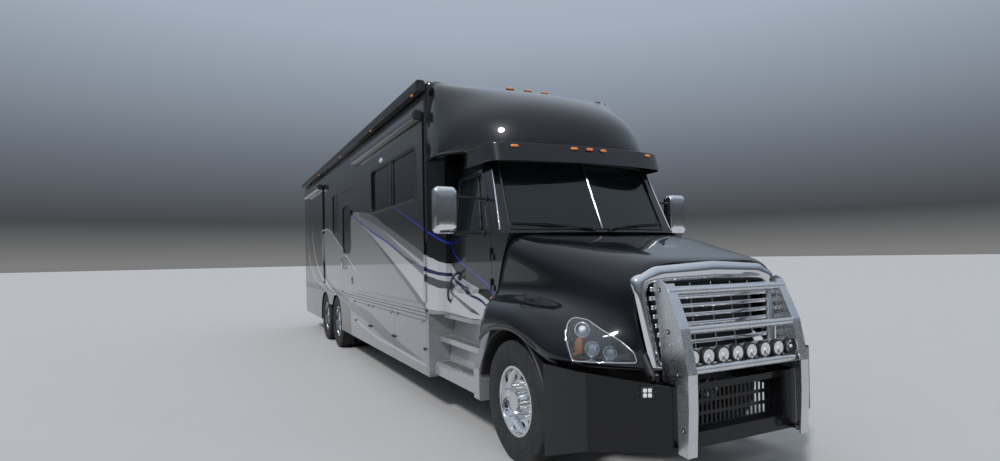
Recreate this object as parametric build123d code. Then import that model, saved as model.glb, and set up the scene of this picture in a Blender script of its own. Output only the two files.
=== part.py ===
"""A motorhome on a heavy conventional-cab chassis, in millimetres.

X runs across the vehicle, towards the driver's side. Y runs from the front to the rear, and the
working Y is measured from the front axle. Z is up from the ground. save() moves every piece so
that Y is 0 halfway along the vehicle, and the nose points along -Y.
"""
import math
import os

from build123d import *

os.makedirs("parts", exist_ok=True)

# Overall
LENGTH = 13720
NOSE_REACH = 1500
BODY_HALF = 1285
ROOF_Z = 3820
SKIRT_Z = 410
BODY_FRONT = 1900
NOSE_Y = -NOSE_REACH
BODY_REAR = LENGTH - NOSE_REACH
AXLE_Y = NOSE_REACH - LENGTH / 2

# Axles and wheels
WHEEL_Z = 525
TYRE_R = 525
TYRE_W = 285
BEAD_R = 292
RIM_W = 230
RIM_LIP = 9
RIM_T = 14
FRONT_RIM_X = 1161
KINGPIN_X = 930
KINGPIN_R = 20
BOSS_R = 45
BOSS_Z = (465, 585)
YOKE_Z = (420, 630)
SPINDLE_R = 35
REAR_OVERHANG = 4518
TANDEM = 1346
REAR_YS = [BODY_REAR - REAR_OVERHANG, BODY_REAR - REAR_OVERHANG + TANDEM]
REAR_RIM_X = BODY_HALF - 38
TWIN_GAP = 343
FRONT_MID = FRONT_RIM_X - RIM_W / 2
REAR_OUTER = REAR_RIM_X - RIM_W / 2
REAR_INNER = REAR_OUTER - TWIN_GAP
HUB_FACE = REAR_RIM_X - RIM_W / 2 - TWIN_GAP / 2
HUB_R = 110
LUG_CIRCLE = 142
LUG_COUNT = 10
HAND_HOLE_R = 27
HAND_HOLE_CIRCLE = 212

# Chassis
RAIL_X = 430
RAIL_H = 270
RAIL_FLANGE = 90
RAIL_T = 8
RAIL_TOP = 1010
RAIL_FRONT = NOSE_Y + 460
RAIL_REAR = BODY_REAR - 170
SPRING_W = 80
SHAFT_R = 45
SHAFT_Z = WHEEL_Z + 30
GEARBOX_REAR = 1300
SUMP_Z = 820

# Running clearances
SEAT = 0.3
GAP = 6

# Cab
CAB_HALF = 1050
CAB_TOP_HALF = 955
SILL_HALF = 1150
CAB_T = 45
CAB_FLOOR_Z = 1100
BELT_Z = 1990
CAB_ROOF_Z = 2860
CAB_REAR = BODY_FRONT - 11
SCREEN_BASE_Y = 454
SCREEN_TOP_Y = 860
SCREEN_V = 0.18
GLASS_T = 6

# Hood
HOOD_PIVOT_Y = NOSE_Y + 260
HOOD_PIVOT_Z = 900
HOOD_REAR = 605
HOOD_DRUM = HOOD_REAR - HOOD_PIVOT_Y
HOOD_DRUM_V = 185
HOOD_FOOT_Z = 965
HOOD_T = 12
ARCH_R = 620
FENDER_X = 1222
FENDER_IN = 560
SURROUND_Y = NOSE_Y + 270
SURROUND_T = 60

# Body
WALL_T = 60
WALL_Z = 1040
ROOF_T = 80
FLOOR_Z = 1070
FLOOR_T = 90
DOOR_T = 45
SLIDE_DEPTH = 750
SLIDE_T = 40
SLIDE_Z = (1290, 3440)
TOPPER_H = 110
TOPPER_REACH = 105
SKIRT_T = 30
BAY_DEPTH = 790
BAY_T = 15
SKIRT_TOP = 1035
LUGGAGE_HINGE = (BODY_HALF + 8, SKIRT_TOP + 8)
# seams between the luggage doors, from the front, on each side (-1 kerb, 1 driver)
LUGGAGE_SEAMS = {-1: [1975, 3360, 4750, 6085], 1: [1975, 4030, 6085]}
PASSAGE_HALF = 700
PASSAGE_Z = (CAB_FLOOR_Z + 150, CAB_ROOF_Z - 160)

# Guard and bumper
GUARD_X = 600
GUARD_T = 10
FLANGE_T = 12
GUARD_PIVOT = (NOSE_Y + 60, 420)
GUARD_PIN_R = 15
TUBE_R = 30
LAMP_R = 58
BUMPER_Y = NOSE_Y + 135
BUMPER_T = 10
MESH_Y = NOSE_Y + 210


def block(x, y, z):
    """A box between the pairs x, y and z."""
    low = [min(pair) for pair in (x, y, z)]
    high = [max(pair) for pair in (x, y, z)]
    size = [b - a for a, b in zip(low, high)]
    mid = [(a + b) / 2 for a, b in zip(low, high)]
    return Pos(*mid) * Box(*size)


def outline(points, radius=0):
    """A flat face through the points, its corners rounded by radius; a ready face is kept."""
    face = Polygon(*points, align=None) if isinstance(points, list) else points
    return fillet(face.vertices(), radius) if radius else face


def from_side(points, x, radius=0):
    """A (y, z) outline made thick from x[0] to x[1]."""
    low, high = min(x), max(x)
    return Pos(low, 0, 0) * extrude(Plane.YZ * outline(points, radius), high - low, dir=(1, 0, 0))


def from_front(points, y, radius=0):
    """An (x, z) outline made thick from y[0] to y[1]."""
    low, high = min(y), max(y)
    return Pos(0, low, 0) * extrude(Plane.XZ * outline(points, radius), high - low, dir=(0, 1, 0))


def from_top(points, z, radius=0):
    """An (x, y) outline made thick from z[0] to z[1]."""
    low, high = min(z), max(z)
    return Pos(0, 0, low) * extrude(outline(points, radius), high - low, dir=(0, 0, 1))


def rod_x(radius, x, y, z):
    """A round bar along X between the pair x."""
    return Pos((x[0] + x[1]) / 2, y, z) * Rot(0, 90, 0) * Cylinder(radius, abs(x[1] - x[0]))


def rod_y(radius, x, y, z):
    """A round bar along Y between the pair y."""
    return Pos(x, (y[0] + y[1]) / 2, z) * Rot(90, 0, 0) * Cylinder(radius, abs(y[1] - y[0]))


def rod_z(radius, x, y, z):
    """A round bar along Z between the pair z."""
    return Pos(x, y, (z[0] + z[1]) / 2) * Cylinder(radius, abs(z[1] - z[0]))


def mirrored(shape):
    """The same shape on the other side of the vehicle."""
    return mirror(shape, Plane.YZ)


def both(shape):
    """The shape and its mirror image."""
    return [shape, mirrored(shape)]


def join(shapes):
    """One solid, or group of solids, from a list."""
    result = shapes[0]
    for shape in shapes[1:]:
        result = result + shape
    return result


def about_x(profile, y, z):
    """A solid of revolution about the line along X through y and z; the profile lists (x, radius)."""
    face = Polygon(*profile, align=None)
    return Pos(0, y, z) * revolve(face, Axis.X)


def save(name, *shapes):
    """Write one node, with Y measured from halfway along the vehicle."""
    solids = [solid for shape in shapes for solid in shape.solids()]
    whole = Compound(children=solids)
    export_step(Pos(0, AXLE_Y, 0) * whole, "parts/" + name + ".step")


def save_pair(name, shape):
    """Write a node for the kerb side and its mirror image for the driver's side."""
    save(name + "_right", shape)
    save(name + "_left", mirrored(shape))


# Chassis frame
RAIL_Z0 = RAIL_TOP - RAIL_H
CROSS_Z = (780, 980)
# the bays between the gearbox and the first rear axle, then the members behind that axle
FIRST_CROSS = GEARBOX_REAR + 80
BAY_COUNT = 5
BAY = (REAR_YS[0] - 502 - FIRST_CROSS) / BAY_COUNT
CROSS_YS = [FIRST_CROSS + i * BAY for i in range(BAY_COUNT + 1)]
TAIL_YS = [REAR_YS[0] + TANDEM / 2, REAR_YS[1] + 512, (REAR_YS[1] + BODY_REAR + 172) / 2,
           BODY_REAR - 340]
HANGER_YS = [CROSS_YS[2], CROSS_YS[4]]


def rail(side):
    """A channel rail with its web outside."""
    y = (RAIL_FRONT, RAIL_REAR)
    web = block((side * (RAIL_X - RAIL_T), side * RAIL_X), y, (RAIL_Z0, RAIL_TOP))
    x = (side * (RAIL_X - RAIL_FLANGE), side * RAIL_X)
    top = block(x, y, (RAIL_TOP - RAIL_T, RAIL_TOP))
    bottom = block(x, y, (RAIL_Z0, RAIL_Z0 + RAIL_T))
    return web + top + bottom


def frame_rails():
    members = [(RAIL_FRONT + 140, RAIL_Z0 + 5, SUMP_Z), (130, RAIL_Z0 + 5, SUMP_Z)]
    members += [(y, *CROSS_Z) for y in CROSS_YS + TAIL_YS]
    inside = RAIL_X - RAIL_T
    cross = [block((-inside, inside), (y - 35, y + 35), (z0, z1)) for y, z0, z1 in members]
    hangers = [block((-60, 60), (y - 30, y + 30), (SHAFT_Z + SHAFT_R + SEAT, CROSS_Z[0] + 1))
               for y in HANGER_YS]
    return join([rail(-1), rail(1)] + cross + hangers)


def front_axle():
    """A dropped beam with a boss for each kingpin, and the leaf springs that carry the rails."""
    half = [(0, 385), (480, 385), (760, 470), (KINGPIN_X, 470), (KINGPIN_X, 580), (740, 580),
            (460, 485), (0, 485)]
    beam = from_front(half, (-55, 55))
    eye = rod_z(KINGPIN_R + SEAT, KINGPIN_X, 0, (400, 650))
    side = beam - rod_z(BOSS_R, KINGPIN_X, 0, (400, 650))
    side = side + (rod_z(BOSS_R, KINGPIN_X, 0, BOSS_Z) - eye)
    foot = RAIL_Z0 - SEAT
    width = (RAIL_X - SPRING_W, RAIL_X)
    spring = from_side([(-720, foot - 5), (-640, 700), (0, 590), (640, 700), (720, foot - 5), (720, foot),
                        (660, foot), (0, 640), (-660, foot), (-720, foot)], width)
    seat = block(width, (-60, 60), (485, 600))
    half_axle = side + spring + seat
    return half_axle + mirrored(half_axle)


def rear_axle(y):
    """A driven axle: banjo housing, tubes, spindles and a spring stack under each rail."""
    bowl = about_x([(-190, 0), (-190, 60), (-110, 165), (-40, 190), (40, 190), (110, 165),
                    (190, 60), (190, 0)], y, WHEEL_Z)
    nose = rod_y(75, 0, (y - 300, y), SHAFT_Z)
    tube = rod_x(65, (-600, 600), y, WHEEL_Z)
    reach = HUB_FACE + 39.5
    spindle = rod_x(SPINDLE_R, (-reach, reach), y, WHEEL_Z)
    springs = [block((s * (RAIL_X - SPRING_W), s * RAIL_X), (y - 60, y + 60),
                     (WHEEL_Z, RAIL_Z0 - SEAT)) for s in (-1, 1)]
    leaves = [block((s * (RAIL_X - 70), s * (RAIL_X - 10)), (y - 480, y + 480), (620, 665))
              for s in (-1, 1)]
    return join([bowl, nose, tube, spindle] + springs + leaves)


def axles():
    first, second = REAR_YS
    shafts = [rod_y(SHAFT_R, 0, (GEARBOX_REAR + SEAT, first - 290), SHAFT_Z),
              rod_y(SHAFT_R, 0, (first, second), SHAFT_Z)]
    return [front_axle(), join([rear_axle(y) for y in REAR_YS] + shafts)]


def engine_block():
    """Engine and gearbox as one plain block."""
    engine = block((-340, 340), (-930, 250), (SUMP_Z + SEAT, 1540))
    gearbox = block((-230, 230), (240, GEARBOX_REAR), (500, 1060))
    return engine + gearbox


def radiator():
    """The core between its two side tanks, on the rails behind the grille."""
    z = (RAIL_TOP + SEAT, 1560)
    y = RAIL_FRONT + 30
    core = block((-480, 480), (y - 25, y + 25), z)
    tanks = [block((s * 480, s * 530), (y - 40, y + 40), z) for s in (-1, 1)]
    return join([core] + tanks)


save("frame_rails", frame_rails())
save("axles", *axles())
save("engine_block", engine_block())
save("radiator", radiator())


# Wheels
def tyre(x, y):
    """A tyre with its mid plane at x: beads, bulged sidewalls and a flat tread."""
    seat = BEAD_R + SEAT
    bead = RIM_W / 2 - RIM_T
    half = TYRE_W / 2
    profile = [(-bead, seat), (-bead, 312), (-half + 12, 345), (-half, 405), (-half + 8, 480),
               (-half + 22, TYRE_R - 12), (-half + 45, TYRE_R)]
    points = [(x + a, b) for a, b in profile] + [(x - a, b) for a, b in reversed(profile)]
    return about_x(points, y, WHEEL_Z)


def barrel(x, y):
    """The rim's barrel with its two lips, its mid plane at x."""
    half = RIM_W / 2
    outer = [(-half, BEAD_R + RIM_LIP), (-half + RIM_T - 1, BEAD_R + RIM_LIP),
             (-half + RIM_T - 1, BEAD_R), (-half + 60, BEAD_R), (-half + 80, BEAD_R - 22),
             (half - 80, BEAD_R - 22), (half - 60, BEAD_R), (half - RIM_T + 1, BEAD_R),
             (half - RIM_T + 1, BEAD_R + RIM_LIP), (half, BEAD_R + RIM_LIP)]
    inner = [(half, BEAD_R - 12), (half - 60, BEAD_R - 12), (half - 80, BEAD_R - 34),
             (-half + 80, BEAD_R - 34), (-half + 60, BEAD_R - 12), (-half, BEAD_R - 12)]
    return about_x([(x + a, b) for a, b in outer + inner], y, WHEEL_Z)


def disc(x_hub, x_edge, y):
    """The rim's disc: a flat ring at the hub that sweeps to the barrel, with round hand holes."""
    face = about_x([(x_hub, 70), (x_hub, 175), (x_edge, 262), (x_edge + 12, 262),
                    (x_hub + 20, 175), (x_hub + 20, 70)], y, WHEEL_Z)
    for i in range(LUG_COUNT):
        a = 2 * math.pi * (i + 0.5) / LUG_COUNT
        face -= rod_x(HAND_HOLE_R, (x_hub - 60, x_hub + 100),
                      y + HAND_HOLE_CIRCLE * math.cos(a), WHEEL_Z + HAND_HOLE_CIRCLE * math.sin(a))
    return face


def lugs(x, y, length, tip):
    """A ring of tall covers over the wheel nuts, each a cone down to its tip radius."""
    shapes = []
    for i in range(LUG_COUNT):
        a = 2 * math.pi * i / LUG_COUNT
        shapes.append(Pos(x + length / 2, y + LUG_CIRCLE * math.cos(a),
                          WHEEL_Z + LUG_CIRCLE * math.sin(a)) * Rot(0, 90, 0)
                      * Cone(17, tip, length))
    return shapes


def front_rim():
    """The steered wheel's rim; its hub's profile lists (distance from the rim's face, radius)."""
    hub = [(-176, SPINDLE_R + SEAT), (-176, 95), (-86, 105), (-61, HUB_R), (-11, 85), (14, 80),
           (14, 0), (-26, 0), (-26, SPINDLE_R + SEAT)]
    centre = about_x([(FRONT_RIM_X + x, r) for x, r in hub], 0, WHEEL_Z)
    face = disc(FRONT_RIM_X - 89, FRONT_RIM_X - 109, 0)
    return join([barrel(FRONT_MID, 0), face, centre] + lugs(FRONT_RIM_X - 76, 0, 115, 4))


def rear_rim(y):
    """Two barrels on one hub, the discs face to face."""
    hub = [(REAR_INNER - 179, SPINDLE_R + SEAT), (REAR_INNER - 179, 95), (HUB_FACE - 25, 105),
           (HUB_FACE + 40, HUB_R), (HUB_FACE + 150, 85), (HUB_FACE + 175, 80), (HUB_FACE + 175, 0),
           (HUB_FACE + 70, 0), (HUB_FACE + 70, SPINDLE_R + SEAT)]
    face = about_x([(HUB_FACE - 20, 70), (HUB_FACE - 20, 175), (REAR_INNER + 60, 284),
                    (REAR_INNER + 85, 284), (HUB_FACE, 215), (REAR_OUTER - 85, 284),
                    (REAR_OUTER - 60, 284), (HUB_FACE + 20, 175), (HUB_FACE + 20, 70)], y, WHEEL_Z)
    return join([barrel(REAR_OUTER, y), barrel(REAR_INNER, y), face, about_x(hub, y, WHEEL_Z)]
                + lugs(HUB_FACE + 15, y, 80, 6))


def knuckle():
    """A yoke round the axle's boss, with the kingpin, the wheel's spindle and the steering arm."""
    web_x = KINGPIN_X + 54
    ears = [rod_z(BOSS_R - 3, KINGPIN_X, 0, z) + block((KINGPIN_X, web_x), (-40, 40), z)
            for z in ((YOKE_Z[0], BOSS_Z[0] - SEAT), (BOSS_Z[1] + SEAT, YOKE_Z[1]))]
    web = block((web_x - 4, web_x), (-60, 60), YOKE_Z)
    pin = rod_z(KINGPIN_R, KINGPIN_X, 0, (YOKE_Z[0] + 5, YOKE_Z[1] - 5))
    spindle = rod_x(SPINDLE_R, (web_x, FRONT_RIM_X - 31), 0, WHEEL_Z)
    arm_z = (YOKE_Z[0] + 20, YOKE_Z[0] + 44)
    arm = block((KINGPIN_X - 110, KINGPIN_X + 30), (60, 120), arm_z)
    root = block((KINGPIN_X - 30, web_x), (40, 120), arm_z)
    return join(ears + [web, pin, spindle, arm, root])


save_pair("front_tyre", mirrored(tyre(FRONT_MID, 0)))
save_pair("front_rim", mirrored(front_rim()))
save_pair("knuckle", mirrored(knuckle()))
for number, axle_y in enumerate(REAR_YS, 1):
    twin = tyre(REAR_OUTER, axle_y), tyre(REAR_INNER, axle_y)
    rim = rear_rim(axle_y)
    save("rear_tyres_" + str(number) + "_left", *twin)
    save("rear_tyres_" + str(number) + "_right", *[mirrored(t) for t in twin])
    save("rear_rims_" + str(number) + "_left", rim)
    save("rear_rims_" + str(number) + "_right", mirrored(rim))


# Cab
LEAN = (CAB_HALF - CAB_TOP_HALF) / (CAB_ROOF_Z - BELT_Z)
SCREEN_RAKE = (SCREEN_TOP_Y - SCREEN_BASE_Y) / (CAB_ROOF_Z - BELT_Z)
CAB_GAP = 15
# the doors' lower half stands out: where that starts, is full and ends, and its shoulder's levels
FLARE_Y = (680, 955, 1745)
FLARE_Z = (1395, 1450)


def drum(growth):
    """The space swept by the hood's rear edge: cones about the pivot, deepest at the sides."""
    half = 1400
    side = HOOD_DRUM + growth
    profile = [(-half, 0), (-half, side), (-CAB_HALF, side), (0, side - HOOD_DRUM_V),
               (CAB_HALF, side), (half, side), (half, 0)]
    return about_x(profile, HOOD_PIVOT_Y, HOOD_PIVOT_Z)


def flare(inset):
    """One side's outward swelling of the lower cab."""
    sill = SILL_HALF - inset
    half = CAB_HALF - inset
    rear = FLARE_Y[2] - inset
    profile = [(0, CAB_FLOOR_Z + inset), (sill, CAB_FLOOR_Z + inset), (sill, FLARE_Z[0]),
               (half, FLARE_Z[1]), (0, FLARE_Z[1])]
    plan = [(0, FLARE_Y[0]), (half, FLARE_Y[0]), (sill, FLARE_Y[1]), (sill, rear), (0, rear)]
    return from_front(profile, (0, 3000)) & from_top(plan, (0, 3000))


def cab_body(inset):
    """The cab as a closed form: a lower part that swells at the doors, and a leaning greenhouse."""
    half = CAB_HALF - inset
    lower = block((-half, half), (-100, CAB_REAR - inset), (CAB_FLOOR_Z + inset, BELT_Z - inset))
    lower = lower - drum(CAB_GAP + inset) + flare(inset) + mirrored(flare(inset))
    sections = []
    for z in (BELT_Z, CAB_ROOF_Z - inset):
        side = half - LEAN * (z - BELT_Z)
        corner = SCREEN_BASE_Y + inset + SCREEN_RAKE * (z - BELT_Z)
        nose = corner - SCREEN_V * side
        points = [(-side, corner), (0, nose), (side, corner), (side, CAB_REAR - inset),
                  (-side, CAB_REAR - inset)]
        sections.append(Pos(0, 0, z) * Polygon(*points, align=None))
    neck = extrude(sections[0], inset + 1, dir=(0, 0, -1))
    return lower + neck + loft(sections, ruled=True)


# (y, z) outlines: the door from its foot round to its rear foot, and its window
DOOR_FOOT_Z = CAB_FLOOR_Z + CAB_T + GAP
DOOR_TOP_Z = CAB_ROOF_Z - 175
CAB_DOOR_Y = (668, 1675)
SWING_GAP = 8
CAB_WINDOW = [(765, 2035), (1050, CAB_ROOF_Z - 225), (1610, CAB_ROOF_Z - 225), (1610, 2035)]
CAB_HINGE = (CAB_HALF + 12, CAB_DOOR_Y[0] - 8)
CAB_HINGES_Z = (1500, 1800)
HINGE_R = 11
KNUCKLE_H = 60


def door_outline(rear):
    """The door's five corners, with its rear edge at the given y."""
    front = CAB_DOOR_Y[0]
    return [(front, DOOR_FOOT_Z), (front, 2030), (front + 290, DOOR_TOP_Z), (rear, DOOR_TOP_Z),
            (rear, DOOR_FOOT_Z)]


def grown(shape, amount):
    """An outline moved outwards, or inwards where amount is negative, its corners kept sharp."""
    return offset(outline(shape), amount, kind=Kind.INTERSECTION)


def side_prism(face, x):
    """A (y, z) face made thick between the pair x."""
    return Pos(min(x), 0, 0) * extrude(Plane.YZ * face, abs(x[1] - x[0]), dir=(1, 0, 0))


def screen_prism(inset, z):
    """The space in front of the windshield's two panes, for cutting the opening."""
    low, high = z
    foot = 935 - inset
    top = foot - 45
    return from_front([(-foot, low), (foot, low), (top, high), (-top, high)],
                      (0, 1000), 60) - block((-8, 8), (-10, 1000), (low, high))


outer_cab = cab_body(0)
cab_skin = outer_cab - cab_body(CAB_T)
glass_layer = cab_body(12) - cab_body(12 + GLASS_T)
SCREEN_Z = (BELT_Z + 50, CAB_ROOF_Z - 120)
screen_cut = screen_prism(0, SCREEN_Z)
screen_pane = screen_prism(SEAT, (SCREEN_Z[0] + SEAT, SCREEN_Z[1] - SEAT))
HALF_SPACE = (600, 1300)
door_cut = side_prism(grown(door_outline(CAB_DOOR_Y[1] + SWING_GAP), GAP), HALF_SPACE)
door_solid = side_prism(outline(door_outline(CAB_DOOR_Y[1])), HALF_SPACE)
window_cut = side_prism(outline(CAB_WINDOW, 50), HALF_SPACE)
window_pane = side_prism(offset(outline(CAB_WINDOW, 50), -SEAT), HALF_SPACE)
REAR_PASSAGE = block((-PASSAGE_HALF, PASSAGE_HALF), (CAB_REAR - 100, CAB_REAR + 10), PASSAGE_Z)


def cab_shell():
    """The cab's fixed skin, with the lower halves of the door hinges and the four frame mounts."""
    shell = cab_skin - door_cut - mirrored(door_cut) - screen_cut - REAR_PASSAGE
    hinges = []
    x, y = CAB_HINGE
    for z in CAB_HINGES_Z:
        level = (z - KNUCKLE_H, z - SEAT)
        hinges += both(rod_z(HINGE_R, x, y, level) + block((CAB_HALF - 30, x), (y - 60, y), level))
    mounts = [block((s * (RAIL_X - RAIL_FLANGE), s * RAIL_X), (y, y + 120),
                    (RAIL_TOP + SEAT, CAB_FLOOR_Z + 1)) for s in (-1, 1) for y in (480, 1700)]
    return join([shell] + hinges + mounts)


def cab_door():
    """The driver's side door: the cab's own skin inside the door's outline."""
    door = (cab_skin & door_solid) - window_cut
    x, y = CAB_HINGE
    for z in CAB_HINGES_Z:
        level = (z, z + KNUCKLE_H)
        door += rod_z(HINGE_R, x, y, level) + block((CAB_HALF - 8, x), (y + 6, y + 70), level)
    return door


# mirror: (x, y, z) of the head's middle, and its size
MIRROR_AT = (CAB_HALF + 410, 846, BELT_Z + 245)
MIRROR_SIZE = (235, 130, 460)
ARM_R = 16
ARM_ZS = (BELT_Z + 370, BELT_Z + 20)


def mirror_head():
    """A tall head with rounded corners on two arms from the door."""
    x, y, z = MIRROR_AT
    w, d, h = MIRROR_SIZE
    head = block((x - w / 2, x + w / 2), (y - d / 2, y + d / 2), (z - h / 2, z + h / 2))
    head = fillet(head.edges().filter_by(Axis.Z), 45)
    head = fillet(head.edges().group_by(Axis.Z)[-1] + head.edges().group_by(Axis.Z)[0], 20)
    arms = [rod_x(ARM_R, (CAB_HALF - LEAN * max(level - ARM_R - BELT_Z, 0) + SEAT, x), y + 5, level)
            for level in ARM_ZS]
    low_arm = rod_z(ARM_R, x - 30, y + 5, (ARM_ZS[1] - ARM_R, z - h / 2 + 5))
    return join([head] + arms + [low_arm])


cab_glass = window_pane & glass_layer
save("cab_shell", cab_shell())
save("windshield", (glass_layer & screen_pane))
save("cab_door_left", cab_door())
save("cab_door_right", mirrored(cab_door()))
save("cab_door_glass_left", cab_glass)
save("cab_door_glass_right", mirrored(cab_glass))
save("mirror_left", mirror_head())
save("mirror_right", mirrored(mirror_head()))

CAB_FLOOR_TOP = CAB_FLOOR_Z + CAB_T


def cab_interior():
    """Dash, steering wheel and two seats."""
    dash = from_side([(590, 1500), (570, 1860), (620, 1925), (760, 1915), (830, 1840), (820, 1760),
                      (720, 1540)], (-940, 940), 25)
    dash_foot = [block((s * 500, s * 600), (640, 720), (CAB_FLOOR_TOP + SEAT, 1560)) for s in (-1, 1)]
    wheel = Pos(520, 900, 1880) * Rot(-55, 0, 0) * (
        Torus(225, 14) + Cylinder(50, 30) + Box(440, 30, 12) + Pos(0, 0, -60) * Cylinder(25, 110))
    column = from_side([(700, 1700), (740, 1640), (930, 1830), (890, 1890)], (490, 550))
    pieces = [join([dash, wheel, column] + dash_foot)]
    for s in (-1, 1):
        x = (s * 300, s * 800)
        foot = block((s * 400, s * 700), (1180, 1520), (CAB_FLOOR_TOP + SEAT, 1500))
        cushion = block(x, (1100, 1620), (1480, 1620))
        back = from_side([(1540, 1560), (1660, 2300), (1780, 2300), (1700, 1560)], x, 30)
        head = from_side([(1660, 2290), (1680, 2480), (1780, 2480), (1775, 2290)],
                         (s * 430, s * 670), 20)
        pieces.append(join([foot, cushion, back, head]))
    return pieces


save("cab_interior", *cab_interior())


# Roof parts over the cab
CAP_FOOT_Z = CAB_ROOF_Z + 40
CAP_T = 40
# columns: share of the cap's height, half width at the rear, (x, y) round to the front, y in front
CAP_SECTIONS = [
    (0, BODY_HALF, (1285, 1660), (1250, 1320), (1090, 980), (800, 700), 520),
    (0.17, BODY_HALF, (1285, 1670), (1245, 1330), (1070, 1000), (780, 730), 550),
    (0.41, BODY_HALF, (1280, 1680), (1220, 1380), (1020, 1080), (730, 840), 670),
    (0.60, BODY_HALF, (1266, 1707), (1170, 1456), (930, 1220), (655, 1030), 890),
    (0.76, BODY_HALF, (1238, 1738), (1096, 1548), (836, 1389), (574, 1284), 1202),
    (0.89, BODY_HALF - 2, (1186, 1773), (989, 1684), (744, 1620), (510, 1577), 1546),
    (0.98, BODY_HALF - 50, (1120, 1860), (960, 1852), (740, 1843), (510, 1835), 1830)]


def cap_solid(inset, count):
    """The cap as a closed form through its first sections, each moved in by inset."""
    faces = []
    for share, rear, *turns, front in CAP_SECTIONS[:count]:
        half = [(min(x, BODY_HALF), y) for x, y in turns]
        points = [(rear, BODY_FRONT)] + half + [(0, front)]
        points += [(-x, y) for x, y in reversed(half)] + [(-rear, BODY_FRONT)]
        face = grown(points, -inset) if inset else outline(points)
        z = CAP_FOOT_Z + share * (ROOF_Z - CAP_FOOT_Z)
        faces.append(Pos(0, 0, z + (inset if share == 0 else -inset)) * face)
    return loft(faces, ruled=True)


# the visor's levels, its thickness, how far it leans, and half its front edge from the middle out
VISOR_Z = (CAB_ROOF_Z - 155, CAP_FOOT_Z - SEAT)
VISOR_T = 20
VISOR_LEAN = 60
VISOR_PLAN = [(0, 430), (900, 526), (1040, 590), (1080, 680)]
VISOR_REAR = 1250


def visor_form(inset):
    """The visor as a closed form, its front set back towards its top."""
    faces = []
    for z, back in zip(VISOR_Z, (0, VISOR_LEAN)):
        half = [(x, y + back) for x, y in VISOR_PLAN] + [(VISOR_PLAN[-1][0], VISOR_REAR)]
        points = half + [(-x, y) for x, y in reversed(half[1:])]
        face = grown(points, -inset) if inset else outline(points)
        faces.append(Pos(0, 0, z) * face)
    return loft(faces, ruled=True)


def sun_visor():
    """A tray-shaped shade over the windshield, open below, its front edge in a shallow V."""
    below = block((-1300, 1300), (0, 1400), (VISOR_Z[0] - 1, CAB_ROOF_Z + SEAT))
    behind = block((-1300, 1300), (900, 1300), (VISOR_Z[0] - 1, CAB_ROOF_Z + SEAT))
    return visor_form(0) - (visor_form(VISOR_T) & below) - behind


WALL_SPACE = block((-1400, 1400), (BODY_FRONT - SEAT, BODY_FRONT + 50), (2500, 4500))
cap = cap_solid(0, len(CAP_SECTIONS)) - cap_solid(CAP_T, len(CAP_SECTIONS) - 1)
save("roof_cap", cap - WALL_SPACE)
save("sun_visor", sun_visor())


# Hood
# columns: y, then half a section from the middle out: the middle's height, then (x, z) of the top's
# edge, the shoulder, the flank's top and foot, the fender's crest and side, and x of its foot
HOOD_SECTIONS = [
    (NOSE_Y + 240, 1688, (500, 1672), (650, 1630), (722, 1470), (665, 1240),
     (620, 1150), (580, 1060), 545),
    (NOSE_Y + 450, 1751, (470, 1738), (675, 1675), (750, 1530), (783, 1275),
     (825, 1205), (875, 1110), 905),
    (NOSE_Y + 600, 1787, (490, 1773), (712, 1703), (798, 1570), (850, 1320),
     (925, 1245), (1000, 1160), 1050),
    (NOSE_Y + 800, 1830, (520, 1815), (745, 1752), (846, 1620), (900, 1375),
     (1010, 1290), (1110, 1190), 1172),
    (-400, 1892, (560, 1878), (808, 1826), (911, 1695), (955, 1430),
     (1070, 1355), (1180, 1240), FENDER_X),
    (0, 1962, (600, 1955), (875, 1922), (988, 1800), (1003, 1470),
     (1090, 1400), (1195, 1270), FENDER_X),
    (700, 2085, (660, 2075), (1000, 2040), (1120, 1960), (1100, 1440),
     (1180, 1350), (1218, 1200), FENDER_X)]
HOOD_NOSE_Y = SURROUND_Y + 20
NOSE_BOW = 85
NOSE_LEAN = 6


def curved_slab(front_y, thickness):
    """A slab bowed in plan and leaning back towards its top, for the grille and the nose round it."""
    half = 900
    rear = front_y + thickness
    face = make_face([
        ThreePointArc((-half, front_y + NOSE_BOW), (0, front_y), (half, front_y + NOSE_BOW)),
        Line((half, front_y + NOSE_BOW), (half, rear + NOSE_BOW)),
        ThreePointArc((half, rear + NOSE_BOW), (0, rear), (-half, rear + NOSE_BOW)),
        Line((-half, rear + NOSE_BOW), (-half, front_y + NOSE_BOW))])
    slab = Pos(0, 0, 700) * extrude(face, 1300, dir=(0, 0, 1))
    hinge = Pos(0, front_y, HOOD_FOOT_Z - 15)
    return hinge * Rot(-NOSE_LEAN, 0, 0) * hinge.inverse() * slab


def hood_form(inset):
    """The hood as a closed form through its sections, moved in by inset and then open below."""
    faces = []
    for y, top, *turns, foot in HOOD_SECTIONS:
        half = [(0, top)] + turns + [(foot, HOOD_FOOT_Z - 3 * inset)]
        points = half + [(-x, z) for x, z in reversed(half[1:])]
        face = grown(points, -inset) if inset else outline(points)
        faces.append(Pos(0, y, 0) * (Plane.XZ * face))
    ahead = curved_slab(HOOD_NOSE_Y - 600 + inset, 600)
    return loft(faces, ruled=True) - ahead


SURROUND_OUTER = [(-665, 925), (-735, 1480), (-735, 1600), (-560, 1690), (0, 1722), (560, 1690),
                  (735, 1600), (735, 1480), (665, 925)]
SURROUND_INNER = [(-560, 985), (-632, 1480), (-600, 1548), (0, 1566), (600, 1548), (632, 1480),
                  (560, 985)]


def surround_space():
    """What the surround and all in front of it take out of the hood's nose."""
    outer = from_front(grown(SURROUND_OUTER, SEAT), (NOSE_Y, -800))
    return outer & curved_slab(SURROUND_Y - 300, SURROUND_T + 300 + SEAT)


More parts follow.
